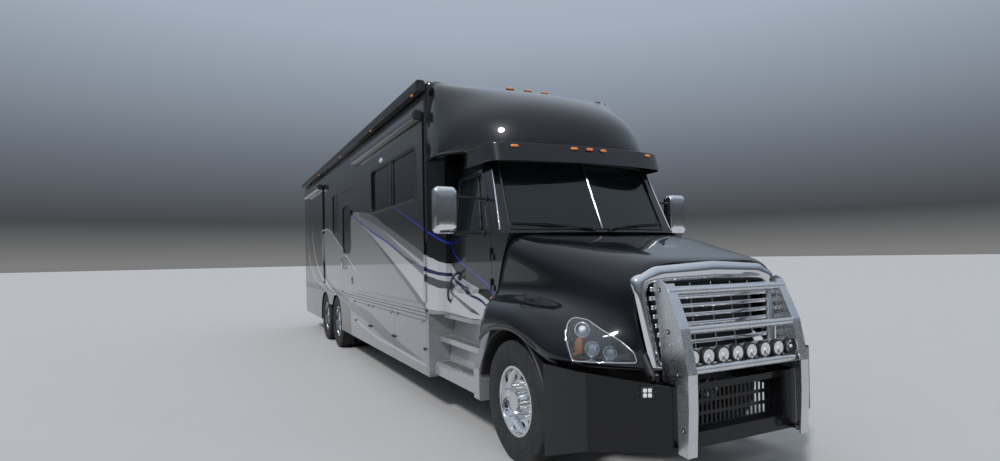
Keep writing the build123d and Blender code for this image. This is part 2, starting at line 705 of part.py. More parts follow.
def grille_surround():
    """The bright frame round the grille."""
    y = (NOSE_Y, -800)
    ring = from_front(SURROUND_OUTER, y, 40) - from_front(SURROUND_INNER, y, 30)
    return ring & curved_slab(SURROUND_Y, SURROUND_T)


ARCH_WALL = 12
# the lamp's outline on its corner of the hood: distance outboard along the corner, height
LAMP_OUTLINE = [(70, 990), (136, 1170), (124, 1270), (85, 1298), (-25, 1284), (-280, 1148),
                (-380, 1060), (-398, 990)]
LAMP_CORNER = (1040, NOSE_Y + 630)
LAMP_ALONG = (0.70, 0.714)
LAMP_DEPTH = 165
LAMP_FIT = 0.5


def lamp_prism(growth, depth):
    """The space of the driver's side headlamp, square to its corner of the hood."""
    tx, ty = LAMP_ALONG
    plane = Plane(origin=(*LAMP_CORNER, 0), x_dir=(tx, ty, 0), z_dir=(ty, -tx, 0))
    face = outline(LAMP_OUTLINE, 16)
    if growth:
        face = offset(face, growth)
    out = extrude(plane * face, 200, dir=(ty, -tx, 0))
    return out + extrude(plane * face, depth, dir=(-ty, tx, 0))


hood_outer = hood_form(0)
hood_inner = hood_form(HOOD_T)
arch_in = rod_x(ARCH_R, (FENDER_IN - 20, 1300), 0, WHEEL_Z)
arch_lining = rod_x(ARCH_R + ARCH_WALL, (FENDER_IN, 1300), 0, WHEEL_Z) - arch_in
EAR_X = (690, 712)
PIVOT_R = 12
PIVOT_X = 660


def hood():
    """The tilting hood: an open shell with arches, a grille opening and lamp openings."""
    shell = hood_outer - hood_inner - surround_space()
    lining = (arch_lining + mirrored(arch_lining)) & hood_outer
    shell = (shell + lining) - arch_in - mirrored(arch_in)
    shell = shell & drum(0)
    lamp = lamp_prism(LAMP_FIT, LAMP_DEPTH + 5)
    shell = shell - lamp - mirrored(lamp)
    y, z = HOOD_PIVOT_Y, HOOD_PIVOT_Z
    ear = from_side([(y - 25, z - 25), (y - 25, z + 15), (y + 75, z + 160), (y + 112, z + 160),
                     (y + 112, z + 60), (y + 25, z - 25)], EAR_X)
    pivot = rod_x(PIVOT_R, (PIVOT_X, EAR_X[1]), y, z)
    return join([shell] + both(ear + pivot))


def headlamp():
    return (lamp_prism(0, LAMP_DEPTH) & hood_outer) - arch_lining - arch_in


BAR_COUNT = 8
BAR_H = 30
GRILLE_Z = (1010, 1545)
DIVIDER_XS = [-420, -210, 0, 210, 420]


def grille():
    """Bowed bars on upright dividers inside a thin frame."""
    y = (NOSE_Y, -800)
    opening = outline(SURROUND_INNER, 30)
    outer = from_front(offset(opening, -SEAT), y)
    inner = from_front(offset(opening, -22), y)
    frame = (outer - inner) & curved_slab(SURROUND_Y + 27, 34)
    low, high = GRILLE_Z
    pitch = (high - low) / BAR_COUNT
    within = from_front(grown(SURROUND_INNER, -10), y)
    bar_layer = within & curved_slab(SURROUND_Y + 17, 26)
    divider_layer = within & curved_slab(SURROUND_Y + 40, 20)
    bars = []
    for i in range(BAR_COUNT):
        z = low + pitch * (i + 0.5)
        bars.append(block((-700, 700), y, (z - BAR_H / 2, z + BAR_H / 2)) & bar_layer)
    dividers = [block((x - 6, x + 6), y, (low - 50, high + 50)) & divider_layer for x in DIVIDER_XS]
    return join([frame] + bars + dividers)


save("hood", hood())
save("headlamps", *both(headlamp()))
save("grille_surround", grille_surround())
save("grille", grille())


# Guard
# the plate's (y, z) outline and, below it, the cross tubes' places; y is measured from the nose
GUARD_PLATE = [(329, 1554), (281, 1228), (248, 862), (110, 858), (107, 387), (17, 379), (0, 700),
               (0, 943), (63, 1251), (207, 1558), (265, 1585)]
GUARD_TUBES = [(210, 1500), (90, 1235), (60, 958)]
LAMP_XS = [-500, -357, -214, -71, 71, 214, 357, 500]
LAMP_Z = 1045


def guard():
    """Two folded side plates on pins, three cross tubes and a row of driving lamps."""
    points = [(NOSE_Y + y, z) for y, z in GUARD_PLATE]
    plate = from_side(points, (GUARD_X, GUARD_X + GUARD_T))
    edge = points[5:10]
    inner_edge = [(y + FLANGE_T, z) for y, z in reversed(edge)]
    flange = from_side(edge + inner_edge, (GUARD_X - 75, GUARD_X + 1))
    pin = rod_x(GUARD_PIN_R, (GUARD_X - 60, GUARD_X + 1), *GUARD_PIVOT)
    sides = both(plate + flange + pin)
    tubes = [rod_x(TUBE_R, (-GUARD_X - 1, GUARD_X + 1), NOSE_Y + y, z) for y, z in GUARD_TUBES]
    face = NOSE_Y + 70
    foot = GUARD_TUBES[-1][1]
    lamps = []
    for x in LAMP_XS:
        can = rod_y(LAMP_R, x, (face, face + 55), LAMP_Z)
        back = rod_y(LAMP_R - 16, x, (face + 54, face + 80), LAMP_Z)
        bracket = block((x - 12, x + 12), (face - 5, face + 25), (foot + 7, LAMP_Z - 45))
        lamps.append(can + back + bracket)
    return join(sides + tubes + lamps)


# Bumper
# where the flat middle plate ends, and (x, y) of the whole face seen from above
MIDDLE_X = 630
BUMPER_PLAN = [(0, BUMPER_Y), (MIDDLE_X, BUMPER_Y), (1165, NOSE_Y + 400), (1222, -572)]
# the (y, z) outline of the whole seen from the side
BUMPER_SIDE = [(-500, 234), (-572, 234), (NOSE_Y + 400, 411), (BUMPER_Y, 390), (NOSE_Y - 100, 390),
               (NOSE_Y - 100, 845), (BUMPER_Y + 10, 845), (NOSE_Y + 400, 950), (-500, 950)]
MESH_X = 480
MESH_Z = (500, 800)
SLOT_COUNT = 21
SLOT_PITCH = 44
SLOT_ROWS = (560, 650, 740)
SLOT_W = 26
SLOT_H = 64
MESH_T = 8
MESH_REBATE = 12


def slotted_panel():
    """The air inlet's panel, set into the bumper's recess."""
    edge = MESH_X - SEAT
    panel = block((-edge, edge), (MESH_Y - MESH_T, MESH_Y), (MESH_Z[0] + SEAT, MESH_Z[1] - SEAT))
    for i in range(SLOT_COUNT):
        x = (i - (SLOT_COUNT - 1) / 2) * SLOT_PITCH
        for z in SLOT_ROWS:
            panel -= block((x - SLOT_W / 2, x + SLOT_W / 2), (MESH_Y - 2 * MESH_T, MESH_Y + MESH_T),
                           (z - SLOT_H / 2, z + SLOT_H / 2))
    return panel


def bumper():
    """A middle plate and two wings, the recess, its panel, and brackets for the hood and guard."""
    outer = BUMPER_PLAN + [(-x, y) for x, y in reversed(BUMPER_PLAN[1:])]
    face = Polygon(*outer, align=None)
    inner = offset(face, -BUMPER_T, kind=Kind.INTERSECTION)
    ring = extrude(face, 1000, dir=(0, 0, 1)) - extrude(inner, 1000, dir=(0, 0, 1))
    ring = ring - block((-1300, 1300), (-600, -500), (0, 1000))
    ring = ring & from_side(BUMPER_SIDE, (-1300, 1300))
    ring = ring - block((-MESH_X, MESH_X), (NOSE_Y, BUMPER_Y + 65), MESH_Z)
    tall = (0, 1000)
    deep = (BUMPER_Y - 200, -500)
    middle = ring & block((-MIDDLE_X, MIDDLE_X), deep, tall)
    wings = both(ring & block((MIDDLE_X + SEAT, 1300), deep, tall))
    z0, z1 = MESH_Z
    edge_x = MESH_X + BUMPER_T
    depth = (BUMPER_Y + BUMPER_T + SEAT, MESH_Y + MESH_REBATE)
    recess = block((-edge_x, edge_x), depth, (z0 - BUMPER_T, z1 + BUMPER_T))
    recess = recess - block((-MESH_X, MESH_X), (depth[0] - 10, depth[1] + 10), MESH_Z)
    y, z = HOOD_PIVOT_Y, HOOD_PIVOT_Z
    post_x = (PIVOT_X, PIVOT_X + 28)
    post = rod_x(28, post_x, y, z) + block(post_x, (y - 28, y + 28), (z - 180, z))
    post = post - rod_x(PIVOT_R + SEAT, (post_x[0] - 10, post_x[1] + 10), y, z)
    arm = block((RAIL_X - 60, RAIL_X - RAIL_T - SEAT), (depth[1] + SEAT, RAIL_FRONT + 80), (750, 850))
    brace = block((RAIL_X - 60, post_x[1]), (y - 28, y + 28), (755, 800))
    y, z = GUARD_PIVOT
    eye_x = (GUARD_X - 55, GUARD_X - 30)
    eye = rod_x(24, eye_x, y, z) + block(eye_x, (y, BUMPER_Y + 5), (z - 16, z + 16))
    eye = eye - rod_x(GUARD_PIN_R + SEAT, (eye_x[0] - 10, eye_x[1] + 10), y, z)
    return [join([middle] + both(eye)), *wings, recess, slotted_panel(), *both(arm + post + brace)]


save("guard", guard())
save("bumper", *bumper())


# Steps below the cab doors
STEP_Y = (622, BODY_FRONT - 10)
# (x, z) of the fairing: foot, lower tread, riser, upper tread, riser, top
STEP_PROFILE = [(760, 400), (1150, 400), (1222, 450), (1222, 560), (1190, 585), (1040, 590),
                (1010, 800), (1150, 815), (1150, 870), (985, 890), (960, 1085), (760, 1085)]


def steps():
    """The hollow fairing with two treads, its front pillar and its two hangers from the rail."""
    fairing = from_front(STEP_PROFILE, STEP_Y)
    pillar = from_front([(760, 400), (1222, 400), (1222, 700), (1150, 900), (1090, 1085),
                         (760, 1085)], (STEP_Y[0], STEP_Y[0] + 130), 20)
    hollow = from_front([(772, 380), (772, 1073), (945, 1073), (970, 880), (1000, 790), (1025, 575),
                         (1175, 560), (1175, 380)], (STEP_Y[0] + 12, STEP_Y[1] - 12))
    hangers = [block((RAIL_X + SEAT, 765), (y, y + 60), (900, 940)) for y in (700, 1700)]
    return join([fairing + pillar - hollow] + hangers)


save("cab_steps", *both(steps()))


# Body
# each slide room's front and rear; what lies behind the entry door is measured from the rear wall
SLIDE_Y = {"front": (1990, 5450), "rear": (BODY_REAR - 3060, BODY_REAR - 740),
           "left": (2600, BODY_REAR - 3970)}
ENTRY_Y = (6110, 7030)
ENTRY_Z = (1140, 3050)
ENTRY_HINGE = (BODY_HALF + 12, ENTRY_Y[0] - 6)
ENTRY_HINGE_R = 9
HANDLE_Y = (ENTRY_Y[1] - 260, ENTRY_Y[1] - 230)
HANDLE_Z = (1600, 1840)
HANDLE_REACH = 45
ENTRY_HINGES_Z = (1400, 2600)
# columns: side (1 driver, -1 kerb), front y, rear y, lowest z, highest z
FIXED_WINDOWS = [(-1, BODY_REAR - 4820, BODY_REAR - 4220, 2330, 3090),
                 (1, BODY_REAR - 3120, BODY_REAR - 2120, 2250, 3000)]
# columns: front y, rear y, lowest z, highest z
ENTRY_WINDOW = (ENTRY_Y[0] + 100, ENTRY_Y[1] - 100, 1910, 2785)
SLIDE_WINDOWS = {"front": [(2230, 4470, 2490, 3110)],
                 "left": [(3100, 4500, 2400, 3100), (5600, 7400, 2400, 3100)]}
WINDOW_R = 70
ENTRY_WINDOW_R = 150
WALL_X = (BODY_HALF - WALL_T, BODY_HALF)
BODY_X = (BODY_HALF - WALL_T - 20, BODY_HALF + 60)
ARCH_REAR_R = 560
BELT_RIBS = [1062, 1104, 1146]
RIB_H = 30
RIB_T = 14


def window(side, y, z, growth=0, radius=WINDOW_R):
    """The prism of a rounded window through a side wall."""
    face = outline([(y[0], z[0]), (y[1], z[0]), (y[1], z[1]), (y[0], z[1])], radius)
    if growth:
        face = offset(face, growth)
    return from_side(face, [side * x for x in BODY_X])


def pane(side, y, z, x, radius=WINDOW_R):
    """The glass of such a window, between the pair x."""
    return window(side, y, z, -SEAT, radius) & block([side * v for v in x], (-2000, 13000), (0, 4000))


def slide_opening(name, side, growth=GAP):
    y = SLIDE_Y[name]
    return block((side * BODY_X[0], side * BODY_X[1]), (y[0] - growth, y[1] + growth),
                 (SLIDE_Z[0] - growth, SLIDE_Z[1] + growth))


def side_wall(side):
    """A side wall with its ribbed belt, cut for slides, door and windows."""
    length = (BODY_FRONT + WALL_T, BODY_REAR - WALL_T)
    wall = block([side * x for x in WALL_X], length, (WALL_Z, ROOF_Z - ROOF_T))
    for z in BELT_RIBS:
        wall += block((side * (BODY_HALF - 1), side * (BODY_HALF + RIB_T)), length, (z, z + RIB_H))
    if side < 0:
        wall = wall - slide_opening("front", side) - slide_opening("rear", side)
        wall = wall - block((side * BODY_X[0], side * BODY_X[1]), (ENTRY_Y[0] - GAP, ENTRY_Y[1] + GAP),
                            (ENTRY_Z[0] - GAP, ENTRY_Z[1] + GAP))
        x, y = ENTRY_HINGE
        for z in ENTRY_HINGES_Z:
            level = (z - KNUCKLE_H, z - SEAT)
            wall += rod_z(ENTRY_HINGE_R, side * x, y, level)
            wall += block((side * (BODY_HALF - 5), side * x), (y - 50, y - 1), level)
    else:
        wall = wall - slide_opening("left", side)
    for window_side, y0, y1, z0, z1 in FIXED_WINDOWS:
        if window_side == side:
            wall = wall - window(side, (y0, y1), (z0, z1))
    for y0, y1 in luggage_ys(side):
        for y in (y0 + LUG_INSET, y1 - LUG_INSET):
            wall += luggage_lug(side, y - 70, y - SEAT, 0)
    for y in REAR_YS:
        wall = wall - rod_x(TYRE_R + 12, (side * BODY_X[0], side * BODY_HALF), y, WHEEL_Z)
    return wall


LUG_INSET = 150


def luggage_ys(side, gap=GAP):
    """The front and rear of each luggage door, or of what is set with another gap between."""
    seams = LUGGAGE_SEAMS[side]
    return [(a + gap / 2, b - gap / 2) for a, b in zip(seams, seams[1:])]


def luggage_lug(side, y0, y1, door):
    """A hinge barrel along Y; its tab goes up to the wall, or down to the door."""
    x, z = LUGGAGE_HINGE
    barrel_ = rod_y(7, side * x, (y0, y1), z)
    if door:
        tab = block((side * (BODY_HALF - 8), side * x), (y0, y1), (SKIRT_TOP - 30, z - 4))
        return barrel_ + tab - block((side * (BODY_HALF - 60), side * BODY_HALF), (y0 - 1, y1 + 1),
                                     (SKIRT_TOP, 1060))
    return barrel_ + block((side * (BODY_HALF - 1), side * x), (y0, y1), (z, WALL_Z + 24))


def luggage_door(side, y0, y1):
    """A flush panel hung from the wall's lower edge."""
    door = block((side * (BODY_HALF - SKIRT_T), side * BODY_HALF), (y0, y1), (SKIRT_Z, SKIRT_TOP))
    door = fillet(door.edges().filter_by(Axis.X), 20)
    for y in (y0 + LUG_INSET, y1 - LUG_INSET):
        door += luggage_lug(side, y, y + KNUCKLE_H, 1)
    return door


def entry_door():
    """The entrance door with its tall window, hinge knuckles and grab handle."""
    door = block((-BODY_HALF, -(BODY_HALF - DOOR_T)), ENTRY_Y, ENTRY_Z)
    door = fillet(door.edges().filter_by(Axis.X), 30)
    w = ENTRY_WINDOW
    door = door - window(-1, w[:2], w[2:], radius=ENTRY_WINDOW_R)
    x, y = ENTRY_HINGE
    for z in ENTRY_HINGES_Z:
        level = (z, z + KNUCKLE_H)
        door += rod_z(ENTRY_HINGE_R, -x, y, level)
        door += block((-x, -(BODY_HALF - 4)), (y + 2, y + 60), level)
    low, high = HANDLE_Z
    reach = -(BODY_HALF + HANDLE_REACH)
    posts = [block((reach, -(BODY_HALF - 1)), HANDLE_Y, (z, z + 20)) for z in (low, high - 20)]
    return join([door] + posts + [block((reach, reach + 20), HANDLE_Y, HANDLE_Z)])


FASCIA = 32
FASCIA_T = 18


def slide_room(name, side):
    """A room open to the inside: fascia with a flange over the wall, and its own roll-out cover."""
    y0, y1 = SLIDE_Y[name]
    z0, z1 = SLIDE_Z
    outer_x = BODY_HALF + GAP
    inner_x = BODY_HALF - SLIDE_DEPTH
    room = block((side * inner_x, side * outer_x), (y0, y1), (z0, z1))
    room = room - block((side * (inner_x - 10), side * (outer_x - SLIDE_T)), (y0 + SLIDE_T, y1 - SLIDE_T),
                        (z0 + SLIDE_T, z1 - SLIDE_T))
    flange = block((side * outer_x, side * (outer_x + FASCIA_T)), (y0 - FASCIA, y1 + FASCIA),
                   (z0 - FASCIA, z1 + FASCIA))
    flange = fillet(flange.edges().filter_by(Axis.X), 12)
    room = room + flange
    for w in SLIDE_WINDOWS.get(name, []):
        room = room - window(side, w[:2], w[2:])
    foot_x = (side * inner_x, side * (inner_x + 30))
    for y in (y0 + 200, (y0 + y1) / 2, y1 - 200):
        room += block(foot_x, (y - 40, y + 40), (FLOOR_Z + FLOOR_T + SEAT, z0 + 1))
    face_x = outer_x + FASCIA_T
    topper_z = z1 + FASCIA + 12
    tube = fillet(block((side * (face_x - 1), side * (face_x + TOPPER_REACH)), (y0 - 10, y1 + 10),
                        (topper_z - TOPPER_H, topper_z)).edges().filter_by(Axis.Y), 30)
    return room + tube


def slide_glass(name, side):
    x = (BODY_HALF - 12, BODY_HALF - 6)
    return [pane(side, w[:2], w[2:], x) for w in SLIDE_WINDOWS[name]]


def box_walls():
    return [side_wall(-1), side_wall(1)]


def box_windows():
    x = (BODY_HALF - 20, BODY_HALF - 14)
    return [pane(side, (y0, y1), (z0, z1), x) for side, y0, y1, z0, z1 in FIXED_WINDOWS]


def box_roof():
    roof = block((-BODY_HALF, BODY_HALF), (BODY_FRONT, BODY_REAR), (ROOF_Z - ROOF_T + SEAT, ROOF_Z))
    long_edges = roof.edges().filter_by(Axis.Y).group_by(Axis.Z)[-1]
    return fillet(long_edges, 50)


BATTEN_COUNT = 8


def box_floor():
    """The floor and, laid loose between it and the frame rails, its battens."""
    inset = WALL_T + SEAT
    floor = block((-(BODY_HALF - inset), BODY_HALF - inset), (BODY_FRONT + inset, BODY_REAR - inset),
                  (FLOOR_Z, FLOOR_Z + FLOOR_T))
    first = BODY_FRONT + 300
    pitch = (BODY_REAR - 570 - first) / (BATTEN_COUNT - 1)
    ys = [first + i * pitch for i in range(BATTEN_COUNT)]
    return [floor] + [block((-RAIL_X, RAIL_X), (y, y + 80), (RAIL_TOP + SEAT, FLOOR_Z - SEAT))
                      for y in ys]


HITCH_HOLES = (85.7, 44.5)
HITCH_HOLE_R = 6.7
HITCH_Y = BODY_REAR - 90
HITCH_Z = 620
HITCH_NOTCH = 650


def front_wall():
    """The wall behind the cab, with the passage to it, and a rounded fairing each side of the cab."""
    y = (BODY_FRONT, BODY_FRONT + WALL_T - SEAT)
    wall = block((-BODY_HALF, BODY_HALF), y, (WALL_Z, ROOF_Z - ROOF_T))
    wall = wall - block((-PASSAGE_HALF, PASSAGE_HALF), (y[0] - 10, y[1] + 10), PASSAGE_Z)
    cheek = from_top([(CAB_HALF + GAP, BODY_FRONT - 140), (1110, BODY_FRONT - 138),
                      (1200, BODY_FRONT - 100), (BODY_HALF, BODY_FRONT + 1),
                      (CAB_HALF + GAP, BODY_FRONT + 1)], (CAB_FLOOR_Z + 30, CAP_FOOT_Z - SEAT))
    return join([wall] + both(cheek))


def rear_wall():
    """The rear wall and skirt, with a notch round the coupling."""
    y = (BODY_REAR - WALL_T + SEAT, BODY_REAR)
    wall = block((-BODY_HALF, BODY_HALF), y, (SKIRT_Z + 20, ROOF_Z - ROOF_T))
    return wall - block((-HITCH_NOTCH, HITCH_NOTCH), (BODY_REAR - 100, BODY_REAR + 10),
                        (SKIRT_Z, HITCH_Z + 130))


def skirt_side(side):
    """The fixed skirt: a return at the front, the twin arch and the panel behind it."""
    x = [side * (BODY_HALF - SKIRT_T), side * BODY_HALF]
    cut_x = (side * (BODY_HALF - SKIRT_T - 10), side * (BODY_HALF + 10))
    panel = block(x, (LUGGAGE_SEAMS[side][-1] + GAP / 2, BODY_REAR - WALL_T), (SKIRT_Z, WALL_Z - SEAT))
    for y in REAR_YS:
        panel = panel - rod_x(ARCH_REAR_R, cut_x, y, WHEEL_Z)
    panel = panel - block(cut_x, REAR_YS, (0, WHEEL_Z + 300))
    post = block((side * 760, side * BODY_HALF), (BODY_FRONT, BODY_FRONT + 69), (SKIRT_Z, WALL_Z - SEAT))
    return [panel, post]


def lower_skirts():
    return skirt_side(-1) + skirt_side(1)


def luggage_bay(side, y0, y1):
    """An open-sided tub behind one luggage door, hung under the floor."""
    outer = BODY_HALF - WALL_T - SEAT
    inner = outer - BAY_DEPTH
    foot = SKIRT_Z + 30
    tub = block((side * inner, side * outer), (y0, y1), (foot, FLOOR_Z - SEAT))
    return tub - block((side * (inner + BAY_T), side * (outer + 1)), (y0 + BAY_T, y1 - BAY_T),
                       (foot + BAY_T, SKIRT_TOP - BAY_T))


def luggage_bays():
    return [luggage_bay(side, y0, y1) for side in (-1, 1) for y0, y1 in luggage_ys(side, SEAT)]


def roof_units():
    """Air conditioners and roof vents on the roof's middle line."""
    shapes = []
    for y in (BODY_FRONT + 1500, (BODY_FRONT + BODY_REAR) / 2 - 160, BODY_REAR - 1920):
        low = Pos(0, y, ROOF_Z + SEAT) * Rectangle(680, 1000)
        high = Pos(0, y - 20, ROOF_Z + 230) * Rectangle(520, 760)
        shapes.append(loft([low, high], ruled=True))
    for x, y in ((500, BODY_FRONT + 3200), (-500, BODY_REAR - 3620)):
        shapes.append(block((x - 200, x + 200), (y - 200, y + 200), (ROOF_Z + SEAT, ROOF_Z + 90)))
    return shapes


AWNING_Y = (BODY_FRONT - 20, BODY_REAR - 320)
AWNING_Z = (3690, 3815)
AWNING_REACH = 115


def patio_awning():
    case = block((-BODY_HALF - SEAT, -BODY_HALF - AWNING_REACH), AWNING_Y, AWNING_Z)
    return fillet(case.edges().filter_by(Axis.Y), 35)


def rear_hitch():
    """A crossbar hung from the rails, with a receiver tube and a drilled coupling plate."""
    y = (HITCH_Y - 110, HITCH_Y - 40)
    bar = block((-560, 560), y, (HITCH_Z - 35, HITCH_Z + 35))
    drops = [block((s * 300, s * (RAIL_X - RAIL_FLANGE - SEAT)), (HITCH_Y - 180, HITCH_Y - 40),
                   (HITCH_Z - 35, RAIL_TOP - 60)) for s in (-1, 1)]
    plate = block((-110, 110), (HITCH_Y - 41, HITCH_Y), (HITCH_Z - 70, HITCH_Z + 70))
    for sx in (-1, 1):
        for sz in (-1, 1):
            plate = plate - rod_y(HITCH_HOLE_R, sx * HITCH_HOLES[0] / 2, (HITCH_Y - 150, HITCH_Y + 10),
                                  HITCH_Z + sz * HITCH_HOLES[1] / 2)
            bar = bar - rod_y(HITCH_HOLE_R, sx * HITCH_HOLES[0] / 2, (HITCH_Y - 150, HITCH_Y + 10),
                              HITCH_Z + sz * HITCH_HOLES[1] / 2)
    return join([bar, plate] + drops)


save("box_walls", *box_walls())
save("box_windows", *box_windows())
save("box_roof", box_roof())
save("box_floor", *box_floor())
save("front_wall", front_wall())
save("rear_wall", rear_wall())
save("lower_skirts", *lower_skirts())
save("luggage_bays", *luggage_bays())
save("roof_units", *roof_units())
save("patio_awning", patio_awning())
save("rear_hitch", rear_hitch())
save("entry_door", entry_door())
save("entry_glass", pane(-1, ENTRY_WINDOW[:2], ENTRY_WINDOW[2:], (BODY_HALF - 20, BODY_HALF - 14),
                         ENTRY_WINDOW_R))
save("slide_front", slide_room("front", -1))
save("slide_front_glass", *slide_glass("front", -1))
save("slide_rear", slide_room("rear", -1))
save("slide_left", slide_room("left", 1))
save("slide_left_glass", *slide_glass("left", 1))
for side_, label in ((-1, "right"), (1, "left")):
    for number, (y0, y1) in enumerate(luggage_ys(side_), 1):
        save("luggage_door_" + label + "_" + str(number), luggage_door(side_, y0, y1))
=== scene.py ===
# %% [markdown]
# # A motorhome on a truck cab
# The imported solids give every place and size. This file gives them their look: paint with its
# sweeping stripes, chrome, glass, rubber, and the smooth skins that flat solids can't have.
# Everything is in metres. The nose points along -Y and the kerb side is -X.

# %% Load the solids
import math

import bmesh
import bpy
import numpy as np
from mathutils import Matrix, Vector


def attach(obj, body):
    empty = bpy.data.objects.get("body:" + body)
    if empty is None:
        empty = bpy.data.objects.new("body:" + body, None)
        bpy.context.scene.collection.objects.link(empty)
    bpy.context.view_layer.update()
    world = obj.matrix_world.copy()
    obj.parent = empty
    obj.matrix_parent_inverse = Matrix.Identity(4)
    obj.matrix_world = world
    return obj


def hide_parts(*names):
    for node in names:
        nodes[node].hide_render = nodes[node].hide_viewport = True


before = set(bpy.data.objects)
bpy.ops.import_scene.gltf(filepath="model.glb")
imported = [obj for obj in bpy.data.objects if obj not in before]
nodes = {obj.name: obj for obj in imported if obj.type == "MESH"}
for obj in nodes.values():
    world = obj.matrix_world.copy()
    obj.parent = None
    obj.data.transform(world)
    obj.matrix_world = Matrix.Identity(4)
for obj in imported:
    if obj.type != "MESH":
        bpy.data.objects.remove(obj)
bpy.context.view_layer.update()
AXLE = -5.36

# %% [markdown]
# ## Tools for surfaces
# Each new piece is a grid of points worked out as one array. A table of control points gives a
# smooth patch, a profile turned about an axis gives a lathed ring, and a profile carried along a
# path gives a bar. Distances along the vehicle are counted from the front axle, as on a drawing
# of the real one, and `piece` moves them to the frame's middle.

# %% From arrays to pieces
materials = {}


def grid_faces(rows, columns, close_rows=False, close_columns=False):
    """Quads between neighbours of a rows by columns grid, joined end to end where closed."""
    i = np.arange(rows if close_rows else rows - 1)[:, None]
    j = np.arange(columns if close_columns else columns - 1)[None, :]
    i2, j2 = (i + 1) % rows, (j + 1) % columns
    quads = np.stack([i * columns + j, i2 * columns + j, i2 * columns + j2, i * columns + j2], -1)
    return quads.reshape(-1, 4)


def merged(parts):
    """One vertex array and one face list from several (vertices, faces) pairs."""
    start, points, faces = 0, [], []
    for v, f in parts:
        points.append(v)
        faces += [tuple(int(k) + start for k in row) for row in f]
        start += len(v)
    return np.concatenate(points), faces


def piece(name, parts, body, finish, smooth=True, weld=0.0, outward=True):
    """A mesh object from (vertices, faces) parts in axle coordinates, riding on a body."""
    points, faces = merged(parts)
    points = points + np.array([0.0, AXLE, 0.0])
    mesh = bpy.data.meshes.new(name)
    mesh.from_pydata(points.tolist(), [], faces)
    if weld or outward:
        bm = bmesh.new()
        bm.from_mesh(mesh)
        if weld:
            bmesh.ops.remove_doubles(bm, verts=bm.verts, dist=weld)
        if outward:
            bmesh.ops.recalc_face_normals(bm, faces=bm.faces)
        bm.to_mesh(mesh)
        bm.free()
    mesh.polygons.foreach_set("use_smooth", np.full(len(mesh.polygons), smooth))
    obj = bpy.data.objects.new(name, mesh)
    bpy.context.scene.collection.objects.link(obj)
    mesh.materials.append(materials[finish])
    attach(obj, body)
    return obj


def mirror_x(parts):
    """The same parts on the other side, their faces turned back the right way."""
    return [(v * np.array([-1.0, 1.0, 1.0]), [tuple(row)[::-1] for row in f]) for v, f in parts]


# %% Smooth patches, rings and bars
def spline_weights(count, samples, degree=3):
    """Clamped B-spline weights: a row for each sample, a column for each control point."""
    inner = np.linspace(0, 1, count - degree + 1)
    knots = np.concatenate([np.zeros(degree), inner, np.ones(degree)])
    t = np.clip(np.linspace(0, 1, samples), 0, 1 - 1e-9)[:, None]
    weights = ((knots[:-1] <= t) & (t < knots[1:])).astype(float)
    for k in range(1, degree + 1):
        left = knots[k:-1] - knots[:-k - 1]
        right = knots[k + 1:] - knots[1:-k]
        a = np.divide(t - knots[:-k - 1], left, out=np.zeros((samples, len(left))),
                      where=left > 0)
        b = np.divide(knots[k + 1:] - t, right, out=np.zeros((samples, len(right))),
                      where=right > 0)
        weights = a * weights[:, :-1] + b * weights[:, 1:]
    return weights


def patch(net, rows, columns):
    """A smooth sheet over a table of control points: the table blended by spline weights."""
    net = np.asarray(net, float)
    u = spline_weights(net.shape[0], rows)
    v = spline_weights(net.shape[1], columns)
    points = np.einsum("ai,ijk,bj->abk", u, net, v)
    return points.reshape(-1, 3), grid_faces(rows, columns)


def smooth_line(points, samples):
    """A smooth curve led by control points."""
    points = np.asarray(points, float)
    return spline_weights(len(points), samples) @ points


def ring(profile, centre, count=64, axis="x"):
    """A closed (distance along the axis, radius) profile turned once about an axis at centre."""
    profile = np.asarray(profile, float)
    a = np.linspace(0, 2 * np.pi, count, endpoint=False)[:, None]
    along = profile[None, :, 0] + 0 * a
    c, s = profile[None, :, 1] * np.cos(a), profile[None, :, 1] * np.sin(a)
    order = {"x": (along, c, s), "y": (s, along, c), "z": (c, s, along)}[axis]
    points = np.stack(order, -1).reshape(-1, 3) + np.asarray(centre, float)
    return points, grid_faces(count, len(profile), close_rows=True, close_columns=True)


def turned(profile, centre, count=48, axis="x"):
    """An open profile that starts and ends on the axis, turned once: a closed dome or cup."""
    profile = np.asarray(profile, float)
    points, _ = ring(profile, centre, count, axis)
    return points, grid_faces(count, len(profile), close_rows=True)


def bar(path, radius, around=12, flat=1.0):
    """A round bar along a path; each ring stands square to the path. flat squeezes it in Z."""
    path = np.asarray(path, float)
    along = np.gradient(path, axis=0)
    along /= np.linalg.norm(along, axis=1)[:, None]
    up = np.array([0.0, 0.0, 1.0]) if abs(along[:, 2]).mean() < 0.8 else np.array([1.0, 0.0, 0.0])
    side = np.cross(along, up)
    side /= np.linalg.norm(side, axis=1)[:, None]
    top = np.cross(side, along)
    a = np.linspace(0, 2 * np.pi, around, endpoint=False)
    radius = np.broadcast_to(np.asarray(radius, float), len(path))[:, None, None]
    rings = path[:, None] + radius * (np.cos(a)[None, :, None] * side[:, None]
                                      + flat * np.sin(a)[None, :, None] * top[:, None])
    faces = [tuple(row) for row in grid_faces(len(path), around, close_columns=True)]
    last = (len(path) - 1) * around
    faces += [tuple(range(around))[::-1], tuple(range(last, last + around))]
    return rings.reshape(-1, 3), faces


